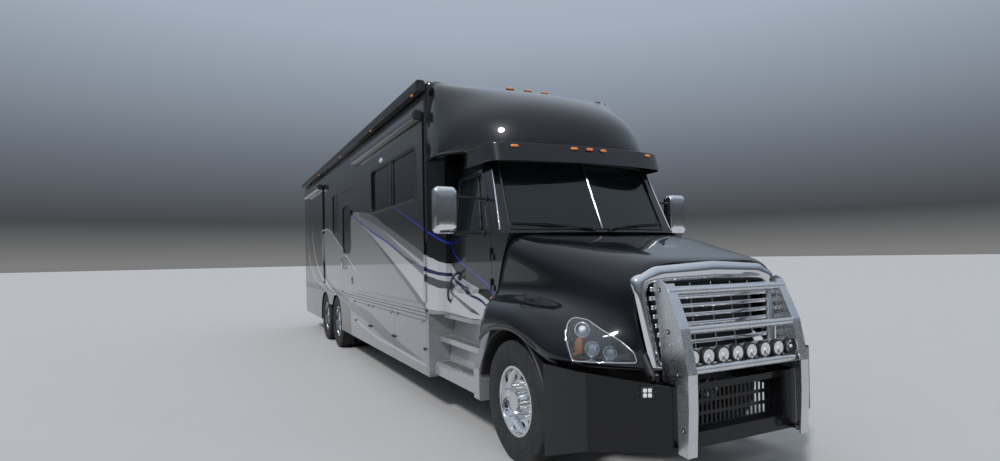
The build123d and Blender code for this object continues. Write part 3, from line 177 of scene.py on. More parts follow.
def box(x, y, z, bevel=0.0):
    """A box between the pairs x, y and z whose Z edges and rims are cut back by the bevel."""
    low = np.minimum(*np.array([x, y, z], float).T)
    high = np.maximum(*np.array([x, y, z], float).T)
    b = bevel
    corners = []
    for level, inset in ((low[2], b), (low[2] + b, 0), (high[2] - b, 0), (high[2], b)):
        x0, x1, y0, y1 = low[0] + inset, high[0] - inset, low[1] + inset, high[1] - inset
        corners += [(x0 + b, y0, level), (x1 - b, y0, level), (x1, y0 + b, level),
                    (x1, y1 - b, level), (x1 - b, y1, level), (x0 + b, y1, level),
                    (x0, y1 - b, level), (x0, y0 + b, level)]
    faces = [tuple(row) for row in grid_faces(4, 8, close_columns=True)]
    faces += [tuple(range(8))[::-1], tuple(range(24, 32))]
    return np.array(corners), faces


# %% [markdown]
# ## Finishes
# Each finish is a small tree of nodes on object coordinates, so a pattern stays put when a door
# moves. The dark paint is nearly black with a deep clear coat and a faint ripple, as sprayed
# paint has. Metals differ by how rough they are, and rubber and plastic by their grain.

# %% A helper for shader nodes
class Finish:
    """A material under construction: nodes are added by kind and linked by socket names."""

    def __init__(self, name):
        """An empty material whose patterns sit on object coordinates."""
        self.material = bpy.data.materials.new(name)
        self.material.use_nodes = True
        self.tree = self.material.node_tree
        self.shader = self.tree.nodes["Principled BSDF"]
        self.where = self.add("ShaderNodeTexCoord").outputs["Object"]
        materials[name] = self.material

    def add(self, kind, inputs=(), **settings):
        """A node with its settings and its inputs fed."""
        node = self.tree.nodes.new(kind)
        for key, value in settings.items():
            setattr(node, key, value)
        for socket, value in dict(inputs).items():
            self.feed(node.inputs[socket], value)
        return node

    def feed(self, socket, value):
        """Link a socket to another, or set its value."""
        if isinstance(value, bpy.types.NodeSocket):
            self.tree.links.new(value, socket)
        elif isinstance(value, tuple) and len(value) == 3 and socket.type == "RGBA":
            socket.default_value = (*value, 1.0)
        else:
            socket.default_value = value

    def set(self, **values):
        """Feed the shader's own sockets, named with _ for each space."""
        for key, value in values.items():
            self.feed(self.shader.inputs[key.replace("_", " ")], value)

    def noise(self, scale, detail=2.0, stretch=(1, 1, 1)):
        """Soft random shades on the object, finer as the scale grows."""
        place = self.add("ShaderNodeMapping", {"Vector": self.where, "Scale": stretch})
        return self.add("ShaderNodeTexNoise", {"Vector": place.outputs[0], "Scale": scale,
                                               "Detail": detail}).outputs["Fac"]

    def spread(self, value, low, high, dark=0.3, light=0.7):
        """The value between dark and light stretched to run from low to high."""
        return self.add("ShaderNodeMapRange", {"Value": value, "From Min": dark, "From Max": light,
                                               "To Min": low, "To Max": high}).outputs[0]

    def mix(self, factor, a, b):
        """Colour a turning to b as the factor goes from 0 to 1."""
        node = self.add("ShaderNodeMix", data_type="RGBA")
        for socket, value in zip((node.inputs[0], node.inputs[6], node.inputs[7]), (factor, a, b)):
            self.feed(socket, value)
        return node.outputs[2]

    def math(self, operation, a, b=0.0):
        """One sum on two values."""
        return self.add("ShaderNodeMath", {0: a, 1: b}, operation=operation).outputs[0]

    def bump(self, height, strength, distance):
        """Relief on the surface from a height, without changing its shape."""
        bumped = self.add("ShaderNodeBump", {"Height": height, "Strength": strength,
                                             "Distance": distance})
        self.feed(self.shader.inputs["Normal"], bumped.outputs[0])


def finish(name, colour, rough, metal=0.0, grain=60.0, vary=0.25, swing=0.15, bump=0.0,
           depth=0.0005, stretch=(1, 1, 1), **sockets):
    """A finish whose colour and roughness drift with noise, with a grain raised by bump."""
    f = Finish(name)
    n = f.noise(grain, 4.0, stretch)
    dark = tuple(c * (1 - vary) for c in colour)
    pale = tuple(min(1.0, c * (1 + vary)) for c in colour)
    broad = f.noise(grain * 0.06, 3.0, stretch)
    f.set(Base_Color=f.mix(f.spread(broad, 0, 1), dark, pale), Metallic=metal,
          Roughness=f.spread(n, max(0.02, rough - swing * rough), rough + swing * rough), **sockets)
    if bump:
        f.bump(n, bump, depth)
    return f


# %% [markdown]
# ## The painted sides
# Black above, silver below, and between them bands that sweep forward and down to the cab. Each
# band lies between two curves, height over distance along the side, so it runs unbroken over
# wall, slide, door and cab. Later bands cover earlier ones, as masked coats of paint do.

# %% The bands
# each band: colour, upper edge, lower edge; an edge lists (distance from the front axle, height)
FLANK = 0.93
SILVER = (0.30, 0.305, 0.315)
PALE = (0.60, 0.60, 0.62)
SLATE = (0.085, 0.085, 0.10)
PLUM = (0.10, 0.09, 0.115)
NAVY = (0.012, 0.018, 0.09)
BLUE = (0.02, 0.05, 0.55)
JET = (0.004, 0.005, 0.007)
# the upper edge of the silver, which also bounds the bands below it on the cab and its fairing
SHOULDER = [(-1, 0.6), (0.2, 1.09), (0.576, 1.276), (0.714, 1.344), (0.895, 1.427), (1.256, 1.507),
            (1.546, 1.584), (1.767, 1.708), (1.817, 1.752), (1.965, 1.813), (2.69, 2.01), (3.73, 2.27),
            (4.52, 2.47), (5.33, 2.56), (6.00, 2.58), (6.30, 2.20), (6.70, 1.93), (7.20, 2.02),
            (7.68, 2.19), (8.52, 2.42), (9.00, 2.42), (9.30, 2.10), (9.45, 1.60)]
UNDER = [(-1, 0.2), (6.15, 0.2), (6.33, 1.0), (7.19, 1.12), (8.07, 1.23), (8.84, 1.44), (9.16, 1.80),
         (9.40, 2.15), (9.45, 2.20)]
WHITE_FOOT = [(0.589, 1.233), (0.716, 1.284), (0.85, 1.369), (1.216, 1.44), (1.55, 1.509), (1.768, 1.603),
              (1.819, 1.624), (1.972, 1.678)]
NAVY_FOOT = [(0.606, 1.212), (0.717, 1.26), (0.851, 1.339), (1.085, 1.395), (1.552, 1.469), (1.768, 1.564),
             (1.819, 1.582), (1.975, 1.624)]
BANDS = [
    (SILVER, SHOULDER, UNDER),
    ((0.16, 0.16, 0.18), [(1.965, 1.813), (2.69, 2.01), (3.73, 2.27), (4.52, 2.47), (5.33, 2.56)],
     [(1.99, 1.735), (2.69, 1.91), (3.73, 2.18), (5.33, 2.50)]),
    (PALE, [(1.99, 1.72), (2.69, 1.90), (3.73, 2.17)], [(1.99, 1.675), (2.69, 1.86), (3.73, 2.165)]),
    (PALE, SHOULDER[2:10], WHITE_FOOT),
    (SLATE, [(1.96, 1.635), (2.70, 1.78), (3.84, 2.07), (5.15, 2.33)],
     [(1.96, 1.57), (2.70, 1.77), (3.84, 2.06), (5.15, 2.32)]),
    (PALE, [(1.99, 1.57), (2.70, 1.765), (3.84, 2.055), (5.15, 2.34)],
     [(1.99, 1.26), (2.42, 1.43), (3.03, 1.65), (4.05, 1.99), (4.60, 2.17), (5.15, 2.32)]),
    (SLATE, [(1.90, 1.22), (2.42, 1.43), (3.03, 1.65), (4.05, 1.99), (4.60, 2.17)],
     [(1.90, 1.12), (2.43, 1.35), (3.04, 1.58), (3.95, 1.92), (4.60, 2.16)]),
    (PALE, NAVY_FOOT, [(0.598, 1.132), (1.033, 1.152), (1.464, 1.171), (1.719, 1.165), (1.99, 1.205)]),
    (NAVY, WHITE_FOOT, NAVY_FOOT),
    (NAVY, [(1.96, 1.672), (2.70, 1.80), (3.55, 2.01)], [(1.96, 1.620), (2.70, 1.775), (3.55, 2.0)]),
    (BLUE, [(2.7, 1.80), (3.55, 2.015), (4.48, 2.205), (5.21, 2.38), (6.09, 2.585)],
     [(2.7, 1.798), (3.55, 1.992), (4.48, 2.18), (5.21, 2.36), (6.09, 2.565)]),
    (SLATE, [(1.60, 1.43), (1.768, 1.506), (1.82, 1.538), (1.97, 1.589)],
     [(1.60, 1.415), (1.769, 1.42), (1.821, 1.445), (1.97, 1.506)]),
    (SLATE, [(0.841, 1.197), (0.937, 1.253), (1.191, 1.32), (1.454, 1.383), (1.60, 1.43)],
     [(0.841, 1.191), (0.938, 1.212), (1.193, 1.278), (1.455, 1.36), (1.60, 1.415)]),
    (BLUE, [(0.40, 1.33), (0.736, 1.492), (0.982, 1.577), (1.249, 1.658), (1.598, 1.792), (1.761, 1.946),
            (1.797, 2.006), (1.949, 2.106), (2.674, 2.321), (3.62, 2.60)],
     [(0.40, 1.31), (0.736, 1.474), (0.982, 1.559), (1.249, 1.640), (1.598, 1.773), (1.761, 1.926),
      (1.797, 1.986), (1.949, 2.087), (2.674, 2.305), (3.62, 2.595)]),
    (PLUM, [(2.12, 0.57), (2.62, 0.61), (3.26, 0.68), (4.13, 0.82), (4.93, 0.94), (6.03, 0.99),
            (7.11, 1.03), (8.07, 1.16), (8.84, 1.40), (9.30, 1.95)],
     [(2.12, 0.565), (2.62, 0.57), (3.27, 0.58), (4.14, 0.64), (5.06, 0.76), (6.04, 0.84),
      (7.11, 0.98), (8.07, 1.06), (8.84, 1.15), (9.30, 1.9)]),
    (PALE, [(1.96, 0.53), (2.47, 0.54), (3.27, 0.57), (4.47, 0.605), (6.04, 0.765)],
     [(1.96, 0.515), (2.47, 0.52), (3.27, 0.545), (4.47, 0.575), (6.04, 0.735)]),
    (PALE, [(5.69, 1.55), (6.13, 1.71), (6.94, 1.985), (7.68, 2.215), (8.52, 2.445), (9.23, 2.44),
            (9.45, 2.2)],
     [(5.69, 1.54), (6.13, 1.67), (6.94, 1.94), (7.68, 2.175), (8.52, 2.41), (9.23, 2.41),
      (9.45, 2.19)]),
    (PALE, [(7.2, 1.03), (8.62, 1.24), (9.71, 1.55), (10.5, 2.08), (10.8, 2.7)],
     [(7.2, 1.02), (8.62, 1.19), (9.71, 1.48), (10.5, 1.98), (10.8, 2.6)]),
    (SLATE, [(8.19, 1.10), (9.34, 1.27), (10.4, 1.53), (11.27, 2.1), (11.8, 2.9)],
     [(8.19, 1.06), (9.34, 1.18), (10.4, 1.34), (11.27, 1.75), (11.8, 2.4)]),
    (PALE, [(8.19, 1.06), (9.34, 1.185), (10.4, 1.345), (11.27, 1.76), (11.8, 2.41)],
     [(8.19, 1.05), (9.34, 1.16), (10.4, 1.31), (11.27, 1.70), (11.8, 2.33)]),
]
SIDE_LENGTH = 14.0
SIDE_HEIGHT = 4.0


# %% Paint that follows the bands
def edge_curve(f, along, points):
    """Height of a painted edge: a curve node over the distance along, both scaled to 0..1."""
    node = f.add("ShaderNodeFloatCurve", {"Value": along})
    line = node.mapping.curves[0]
    scaled = [((y + 1) / SIDE_LENGTH, z / SIDE_HEIGHT) for y, z in points]
    line.points[0].location, line.points[1].location = scaled[0], scaled[-1]
    for place in scaled[1:-1]:
        line.points.new(*place)
    node.mapping.update()
    return node.outputs[0]


def livery(name, base, coat=1.0):
    """The bands over a base colour, under a clear coat; each band is masked by its two edges, and
    all of them stay on the flanks, FLANK or more from the middle plane."""
    f = Finish(name)
    x, y, z = f.add("ShaderNodeSeparateXYZ", {0: f.where}).outputs
    along = f.add("ShaderNodeMapRange", {"Value": y, "From Min": AXLE - 1,
                                         "From Max": AXLE - 1 + SIDE_LENGTH}).outputs[0]
    height = f.math("DIVIDE", z, SIDE_HEIGHT)
    colour = base
    silver = 0.0
    for shade, top, low in BANDS:
        start, end = max(top[0][0], low[0][0]), min(top[-1][0], low[-1][0])
        inside = f.math("LESS_THAN", height, edge_curve(f, along, top))
        inside = f.math("MULTIPLY", inside, f.math("GREATER_THAN", height, edge_curve(f, along, low)))
        inside = f.math("MULTIPLY", inside, f.math("GREATER_THAN", along, (start + 1) / SIDE_LENGTH))
        inside = f.math("MULTIPLY", inside, f.math("LESS_THAN", along, (end + 1) / SIDE_LENGTH))
        colour = f.mix(inside, colour, shade)
        silver = f.math("MAXIMUM", silver, inside)
    flank = f.math("GREATER_THAN", f.math("ABSOLUTE", x), FLANK)
    colour = f.mix(flank, base, colour)
    silver = f.math("MULTIPLY", silver, flank)
    fleck = f.noise(900.0, 1.0)
    ripple = f.noise(14.0, 2.0)
    f.set(Base_Color=colour, Metallic=f.math("MULTIPLY", silver, 0.45), Specular_IOR_Level=0.15,
          Roughness=f.spread(fleck, 0.26, 0.38), Coat_Weight=coat, Coat_Roughness=0.03)
    f.bump(ripple, 0.05, 0.004)
    return f


livery("side_paint", JET)
f = finish("black_paint", JET, 0.30, grain=700, vary=0.1, Specular_IOR_Level=0.1, Coat_Weight=1.0,
           Coat_Roughness=0.02)
f.bump(f.noise(14.0, 2.0), 0.04, 0.004)
print("bands", len(BANDS))

# %% Metals, rubber, plastics and glass
finish("chrome", (0.80, 0.81, 0.83), 0.05, metal=1.0, grain=40, vary=0.03)
finish("mirror_chrome", (0.85, 0.86, 0.88), 0.03, metal=1.0, grain=40, vary=0.02)
finish("guard_alloy", (0.72, 0.73, 0.75), 0.27, metal=1.0, grain=90, vary=0.06, swing=0.35,
       bump=0.03, depth=0.0002)
finish("tread_plate", (0.55, 0.55, 0.56), 0.35, metal=0.9, grain=30, vary=0.15, swing=0.4)
finish("rim_metal", (0.78, 0.79, 0.80), 0.12, metal=1.0, grain=60, vary=0.06, swing=0.4)
finish("rubber", (0.022, 0.022, 0.022), 0.80, grain=220, vary=0.35, bump=0.35, depth=0.0006)
finish("bumper_black", (0.005, 0.005, 0.006), 0.35, grain=900, vary=0.2, swing=0.3, bump=0.1,
       depth=0.0002, Specular_IOR_Level=0.15, Coat_Weight=0.5, Coat_Roughness=0.06)
finish("awning_cloth", (0.030, 0.031, 0.034), 0.7, grain=900, vary=0.3, bump=0.3, depth=0.0004)
finish("dark_trim", (0.015, 0.015, 0.016), 0.5, grain=500, vary=0.2, bump=0.15, depth=0.0003)
finish("chassis_black", (0.02, 0.02, 0.021), 0.55, grain=70, vary=0.4, bump=0.1, depth=0.0008)
finish("cast_iron", (0.035, 0.034, 0.033), 0.7, grain=90, vary=0.4, bump=0.4, depth=0.001)
finish("roof_skin", (0.62, 0.62, 0.60), 0.5, grain=30, vary=0.06, bump=0.06, depth=0.0006)
finish("step_silver", (0.46, 0.46, 0.47), 0.26, metal=0.55, grain=500, vary=0.08,
       Coat_Weight=0.6, Coat_Roughness=0.08)
finish("floor_wood", (0.25, 0.17, 0.10), 0.4, grain=9, vary=0.4, stretch=(8, 0.6, 1))
finish("cabin_grey", (0.06, 0.058, 0.055), 0.6, grain=260, vary=0.15, bump=0.3, depth=0.0006)
finish("amber_lens", (0.85, 0.22, 0.02), 0.12, grain=200, vary=0.1, Coat_Weight=1.0)
finish("red_lens", (0.45, 0.01, 0.01), 0.12, grain=200, vary=0.1, Coat_Weight=1.0)
finish("white_lens", (0.75, 0.77, 0.80), 0.15, grain=200, vary=0.06, Coat_Weight=1.0)
finish("cover_fabric", (0.018, 0.018, 0.020), 0.75, grain=420, vary=0.3, bump=0.3, depth=0.0006)


def glass(name, tint, rough=0.03, clear=0.9, alpha=1.0):
    """Tinted glass: it lets light through by the clear share and mirrors what is around it."""
    f = Finish(name)
    haze = f.noise(6.0, 3.0)
    f.set(Base_Color=f.mix(f.spread(haze, 0, 1), tint, tuple(c * 0.85 for c in tint)),
          Transmission_Weight=clear, IOR=1.45, Alpha=alpha,
          Roughness=f.spread(haze, rough * 0.6, rough * 1.4))
    return f


finish("lamp_black", (0.010, 0.012, 0.016), 0.22, grain=200, vary=0.2, Coat_Weight=0.6,
       Coat_Roughness=0.1)
glass("cab_glass", (0.06, 0.085, 0.095), rough=0.01, clear=0.85)
glass("house_glass", (0.012, 0.014, 0.016), clear=0.15)
glass("lamp_cover", (0.75, 0.80, 0.85), clear=0.95)
print("finishes", len(materials))

# %% [markdown]
# ## Finishes on the solids
# Every solid that stays visible gets a finish by name.

# %% Dress the solids
DRESS = {
    "side_paint": ["box_walls", "front_wall", "slide_front", "slide_rear", "slide_left",
                   "entry_door", "cab_door_right", "cab_door_left", "cab_shell", "lower_skirts",
                   "rear_wall", "luggage_door_right_1", "luggage_door_right_2",
                   "luggage_door_right_3", "luggage_door_left_1", "luggage_door_left_2"],
    "black_paint": ["hood", "roof_cap", "sun_visor"],
    "chrome": ["grille", "grille_surround", "mirror_right", "mirror_left"],
    "guard_alloy": ["guard"],
    "bumper_black": ["bumper"],
    "step_silver": ["cab_steps"],
    "chassis_black": ["frame_rails", "luggage_bays", "radiator", "rear_hitch"],
    "cast_iron": ["axles", "engine_block", "knuckle_right", "knuckle_left"],
    "roof_skin": ["box_roof", "roof_units"],
    "floor_wood": ["box_floor"],
    "cabin_grey": ["cab_interior"],
    "dark_trim": ["patio_awning"],
    "cab_glass": ["windshield", "cab_door_glass_right", "cab_door_glass_left"],
    "house_glass": ["box_windows", "entry_glass", "slide_front_glass", "slide_left_glass"],
    "lamp_cover": ["headlamps"],
    "rubber": [n for n in nodes if "tyre" in n],
    "rim_metal": [n for n in nodes if "rim" in n],
}


def dress(name, finish_name):
    """Put one finish in all slots of a solid."""
    for slot in nodes[name].material_slots:
        slot.material = materials[finish_name]


for finish_name, names in DRESS.items():
    for name in names:
        dress(name, finish_name)
print("dressed", sum(len(v) for v in DRESS.values()), "of", len(nodes))

# %% [markdown]
# ## The hood
# The real hood is one moulded shell: a flat-topped nose that flares over the wheels, with a soft
# shoulder each side. It could be sculpted by hand or lofted, but a short table of control points
# blended by splines gives one sheet with no facets, and glossy paint shows every facet. The table
# holds half the hood; the other half is its mirror image, so both sides match.

# %% Helpers for skins
SHELL_WALL, CAP_WALL, COVER_WALL = 0.010, 0.012, 0.004


def whole_net(half):
    """A half table, rows of (x, y, z) from the middle line outwards, after its mirror image."""
    half = np.asarray(half, float)
    return np.concatenate([half[:, :0:-1] * np.array([-1.0, 1.0, 1.0]), half], 1)


def rounded_line(points, samples, soft, closed=True):
    """Points evenly spaced round an outline, each then averaged over a soft length beside it."""
    points = np.asarray(points, float)
    ends = np.concatenate([points, points[:1]]) if closed else points
    steps = np.linalg.norm(np.diff(ends, axis=0), axis=1)
    place = np.concatenate([[0], np.cumsum(steps)])
    at = np.linspace(0, place[-1], samples, endpoint=not closed)
    line = np.stack([np.interp(at, place, ends[:, k]) for k in range(points.shape[1])], 1)
    gap = np.abs(at[:, None] - at[None, :])
    gap = np.minimum(gap, place[-1] - gap) if closed else gap
    weight = np.exp(-(gap / soft) ** 2)
    if not closed:
        room = np.minimum(at, place[-1] - at)[:, None]
        weight = np.exp(-(gap / np.clip(np.minimum(soft, room * 0.5), 1e-4, None)) ** 2)
    return weight @ line / weight.sum(1)[:, None]


def sheet(points):
    """A rows by columns array of points with its faces, as a part for piece()."""
    rows, columns = points.shape[:2]
    return points.reshape(-1, 3), grid_faces(rows, columns)


def thicken(obj, thickness, side=-1.0):
    """Give a sheet its wall: a Solidify modifier grows it to one side."""
    wall = obj.modifiers.new("wall", "SOLIDIFY")
    wall.thickness, wall.offset = thickness, side
    wall.use_even_offset = False
    return obj


def keep_used(points, faces):
    """The same faces with only the points that they use."""
    faces = np.asarray(faces)
    used, places = np.unique(faces, return_inverse=True)
    return points[used], places.reshape(faces.shape)


# %% The hood's table
# each row runs from the middle line out to the fender's edge; rows run from the cowl to the nose
HOOD_NET = [
    [(0, .03, 1.965), (.35, .106, 1.967), (.70, .183, 1.970), (.99, .247, 1.975), (1.045, .322, 1.87),
     (1.045, .451, 1.62), (1.05, .518, 1.44), (1.13, .534, 1.385), (1.20, .563, 1.26), (1.22, .592, 1.05)],
    [(0, -.22, 1.93), (.35, -.21, 1.93), (.68, -.18, 1.93), (.93, -.10, 1.90), (1.00, -.04, 1.76),
     (1.00, .05, 1.55), (1.02, .12, 1.43), (1.12, .16, 1.405), (1.215, .20, 1.31), (1.22, .22, 1.14)],
    [(0, -.50, 1.87), (.35, -.49, 1.87), (.63, -.46, 1.865), (.86, -.42, 1.82), (.93, -.38, 1.69),
     (.95, -.32, 1.50), (.98, -.28, 1.42), (1.08, -.24, 1.405), (1.20, -.22, 1.32), (1.22, -.20, 1.16)],
    [(0, -.75, 1.82), (.35, -.74, 1.82), (.60, -.72, 1.81), (.80, -.69, 1.75), (.87, -.66, 1.62),
     (.89, -.63, 1.45), (.93, -.61, 1.37), (1.03, -.58, 1.34), (1.17, -.54, 1.26), (1.22, -.50, 1.02)],
    [(0, -.95, 1.775), (.35, -.94, 1.775), (.58, -.93, 1.765), (.75, -.90, 1.69), (.82, -.88, 1.56),
     (.84, -.86, 1.40), (.88, -.85, 1.30), (.98, -.82, 1.27), (1.12, -.76, 1.19), (1.19, -.68, .98)],
    [(0, -1.08, 1.745), (.33, -1.07, 1.745), (.56, -1.06, 1.735), (.72, -1.04, 1.66), (.77, -1.03, 1.52),
     (.78, -1.03, 1.35), (.82, -1.03, 1.24), (.88, -1.02, 1.20), (1.02, -.95, 1.10), (1.08, -.88, .955)],
    [(0, -1.12, 1.73), (.31, -1.11, 1.728), (.54, -1.10, 1.72), (.71, -1.08, 1.645), (.75, -1.07, 1.50),
     (.755, -1.08, 1.34), (.77, -1.09, 1.22), (.80, -1.10, 1.14), (.86, -1.08, 1.05), (.90, -1.06, .95)],
    [(0, -1.15, 1.715), (.30, -1.14, 1.712), (.53, -1.12, 1.70), (.70, -1.10, 1.63), (.735, -1.10, 1.50),
     (.735, -1.12, 1.36), (.725, -1.14, 1.22), (.71, -1.16, 1.12), (.69, -1.18, 1.02), (.67, -1.19, .94)],
]
HOOD_ROWS, HOOD_COLUMNS = 105, 211
hood_points, _ = patch(whole_net(HOOD_NET), HOOD_ROWS, HOOD_COLUMNS)
hood_grid = hood_points.reshape(HOOD_ROWS, HOOD_COLUMNS, 3)
print("hood", np.round(hood_points.min(0), 3), np.round(hood_points.max(0), 3))

# %% [markdown]
# ## The headlamps
# Each lamp is a bucket let into the corner of the hood, with three round units and an amber
# marker behind one clear cover that carries on the hood's own shape. A boolean cut would leave
# ragged shading. Instead the sheet's own points near the lamp's outline are slid onto it, and the
# faces inside become the cover, so cover and hood share one edge exactly.

# %% The opening in the hood
# the outline on the lamp's corner of the hood: distance outboard along the corner, height
LAMP_LINE = [(.070, .990), (.136, 1.170), (.124, 1.270), (.085, 1.298), (-.025, 1.284),
             (-.280, 1.148), (-.380, 1.060), (-.398, .990)]
LAMP_MID = np.array([1.040, -.870, 0.0])
LAMP_ALONG = np.array([0.70, 0.714, 0.0])
LAMP_OUT = np.array([0.714, -0.70, 0.0])
lamp_outline = rounded_line(LAMP_LINE, 144, 0.022)


def edge_distance(p, outline):
    """Distance from flat points to a closed outline, negative inside, and the nearest place on it."""
    a, b = outline, np.roll(outline, -1, 0)
    ab = b - a
    q = p[..., None, :]
    share = np.clip(((q - a) * ab).sum(-1) / (ab ** 2).sum(-1), 0, 1)
    near = a + share[..., None] * ab
    gap = np.linalg.norm(q - near, axis=-1)
    nearest = np.take_along_axis(near, gap.argmin(-1)[..., None, None], -2)[..., 0, :]
    slope = ab[:, 0] / np.where(np.abs(ab[:, 1]) < 1e-9, 1e-9, ab[:, 1])
    crossed = (a[:, 1] > q[..., 1]) != (b[:, 1] > q[..., 1])
    left = q[..., 0] < a[:, 0] + (q[..., 1] - a[:, 1]) * slope
    inside = (crossed & left).sum(-1) % 2 == 1
    return np.where(inside, -1, 1) * gap.min(-1), nearest


def lamp_frame(points):
    """Points with x made positive, as distance along the lamp's corner, height, and distance out."""
    q = points.copy()
    q[..., 0] = np.abs(q[..., 0])
    return np.stack([(q - LAMP_MID) @ LAMP_ALONG, q[..., 2], (q - LAMP_MID) @ LAMP_OUT], -1)


def slide_onto(grid, outline):
    """Move the ring of points just inside an outline onto it, along the sheet's own slope."""
    flat = lamp_frame(grid)
    gap, nearest = edge_distance(flat[..., :2], outline)
    reach = flat[..., 2] > -0.25
    inside = (gap < 0) & reach
    quad = inside[:-1, :-1] & inside[1:, :-1] & inside[1:, 1:] & inside[:-1, 1:]
    some = inside[:-1, :-1] | inside[1:, :-1] | inside[1:, 1:] | inside[:-1, 1:]
    mixed = some & ~quad
    touched = np.zeros(inside.shape, bool)
    for di in (0, 1):
        for dj in (0, 1):
            touched[di:di + mixed.shape[0], dj:dj + mixed.shape[1]] |= mixed
    move = touched & inside
    du, dv = np.gradient(flat, axis=0), np.gradient(flat, axis=1)
    frame_uv = np.stack([du, dv], -1)
    a, b, c, d = (frame_uv[..., 0, 0], frame_uv[..., 0, 1], frame_uv[..., 1, 0], frame_uv[..., 1, 1])
    det = a * d - b * c
    det = np.where(np.abs(det) < 1e-12, 1e-12, det)
    want = nearest - flat[..., :2]
    u = (want[..., 0] * d - want[..., 1] * b) / det
    v = (want[..., 1] * a - want[..., 0] * c) / det
    shift = u[..., None] * np.gradient(grid, axis=0) + v[..., None] * np.gradient(grid, axis=1)
    return np.where(move[..., None], grid + shift, grid), quad


hood_cut, lamp_quads = slide_onto(hood_grid, lamp_outline)
hood_faces = grid_faces(HOOD_ROWS, HOOD_COLUMNS)
is_lamp = lamp_quads.reshape(-1)
hood_skin = piece("hood_skin", [keep_used(hood_cut.reshape(-1, 3), hood_faces[~is_lamp])],
                  "hood", "black_paint")
thicken(hood_skin, SHELL_WALL)
lamp_faces = hood_faces[is_lamp]
cover = piece("headlamp_covers", [keep_used(hood_cut.reshape(-1, 3), lamp_faces)],
              "hood", "lamp_cover")
thicken(cover, COVER_WALL)
print("lamp faces", len(lamp_faces), "hood faces", int((~is_lamp).sum()))


# %% Rims, buckets and the round units
def on_hood(flat_line):
    """Places of the driver's side hood over flat (along, height) points: the nearest sheet point,
    carried on by the sheet's slope there."""
    half = hood_grid[:, HOOD_COLUMNS // 2:]
    flat = lamp_frame(half)
    cloud = flat.reshape(-1, 3)
    cloud = np.where(cloud[:, 2:] > -0.25, cloud, 99.0)
    k = ((cloud[None, :, :2] - flat_line[:, None]) ** 2).sum(-1).argmin(1)
    base = cloud[k]
    du = np.gradient(flat, axis=0).reshape(-1, 3)[k]
    dv = np.gradient(flat, axis=1).reshape(-1, 3)[k]
    det = du[:, 0] * dv[:, 1] - dv[:, 0] * du[:, 1]
    want = flat_line - base[:, :2]
    u = (want[:, 0] * dv[:, 1] - want[:, 1] * dv[:, 0]) / det
    v = (want[:, 1] * du[:, 0] - want[:, 0] * du[:, 1]) / det
    depth = base[:, 2] + u * du[:, 2] + v * dv[:, 2]
    return lamp_place(flat_line[:, 0], flat_line[:, 1], depth)


def lamp_place(along, height, out):
    """A place from its distance along the lamp's corner, its height and its distance out."""
    along, height, out = np.broadcast_arrays(along, height, out)
    place = LAMP_MID + along[..., None] * LAMP_ALONG + out[..., None] * LAMP_OUT
    return place + height[..., None] * np.array([0.0, 0.0, 1.0])


def loop_tube(line, radius, around=10):
    """A round tube along a closed line, each ring square to the line."""
    along = np.roll(line, -1, 0) - np.roll(line, 1, 0)
    along /= np.linalg.norm(along, axis=1)[:, None]
    out = np.broadcast_to(LAMP_OUT, along.shape)
    side = np.cross(along, out)
    side /= np.linalg.norm(side, axis=1)[:, None]
    top = np.cross(side, along)
    a = np.linspace(0, 2 * np.pi, around, endpoint=False)[None, :, None]
    rings = line[:, None] + radius * (np.cos(a) * side[:, None] + np.sin(a) * top[:, None])
    return rings.reshape(-1, 3), grid_faces(len(line), around, True, True)


lamp_rim = on_hood(lamp_outline)
rim_parts = [loop_tube(lamp_rim, 0.0055)]
piece("headlamp_rims", rim_parts + mirror_x(rim_parts), "hood", "chrome")

middle = lamp_outline.mean(0)
flat_rim = lamp_frame(lamp_rim)
shares = np.array([0.0, 0.03, 0.10, 0.22, 0.30, 0.6, 1.0])
depths = np.array([0.0, 0.03, 0.075, 0.100, 0.105, 0.105, 0.105])
ring_flat = flat_rim[None, :, :2] + shares[:, None, None] * (middle - flat_rim[None, :, :2])
ring_out = flat_rim[None, :, 2] * (1 - shares[:, None]) - 0.02 * shares[:, None] - depths[:, None]
bucket = lamp_place(ring_flat[..., 0], ring_flat[..., 1], ring_out)
bucket_part = (bucket.reshape(-1, 3), grid_faces(len(shares), len(lamp_outline), False, True))
bucket_piece = piece("headlamp_buckets", [bucket_part] + mirror_x([bucket_part]), "hood",
                     "lamp_black", weld=1e-5, outward=False)
thicken(bucket_piece, COVER_WALL, 1.0)


def aimed(profile, along, height, out, count=48):
    """A profile of (distance out, radius) turned about a line square to the lamp's corner."""
    profile = np.asarray(profile, float)
    a = np.linspace(0, 2 * np.pi, count, endpoint=False)[:, None]
    across = along + profile[None, :, 1] * np.cos(a)
    up = height + profile[None, :, 1] * np.sin(a)
    points = lamp_place(across, up, out + profile[None, :, 0] + 0 * a)
    return points.reshape(-1, 3), grid_faces(count, len(profile), close_rows=True)


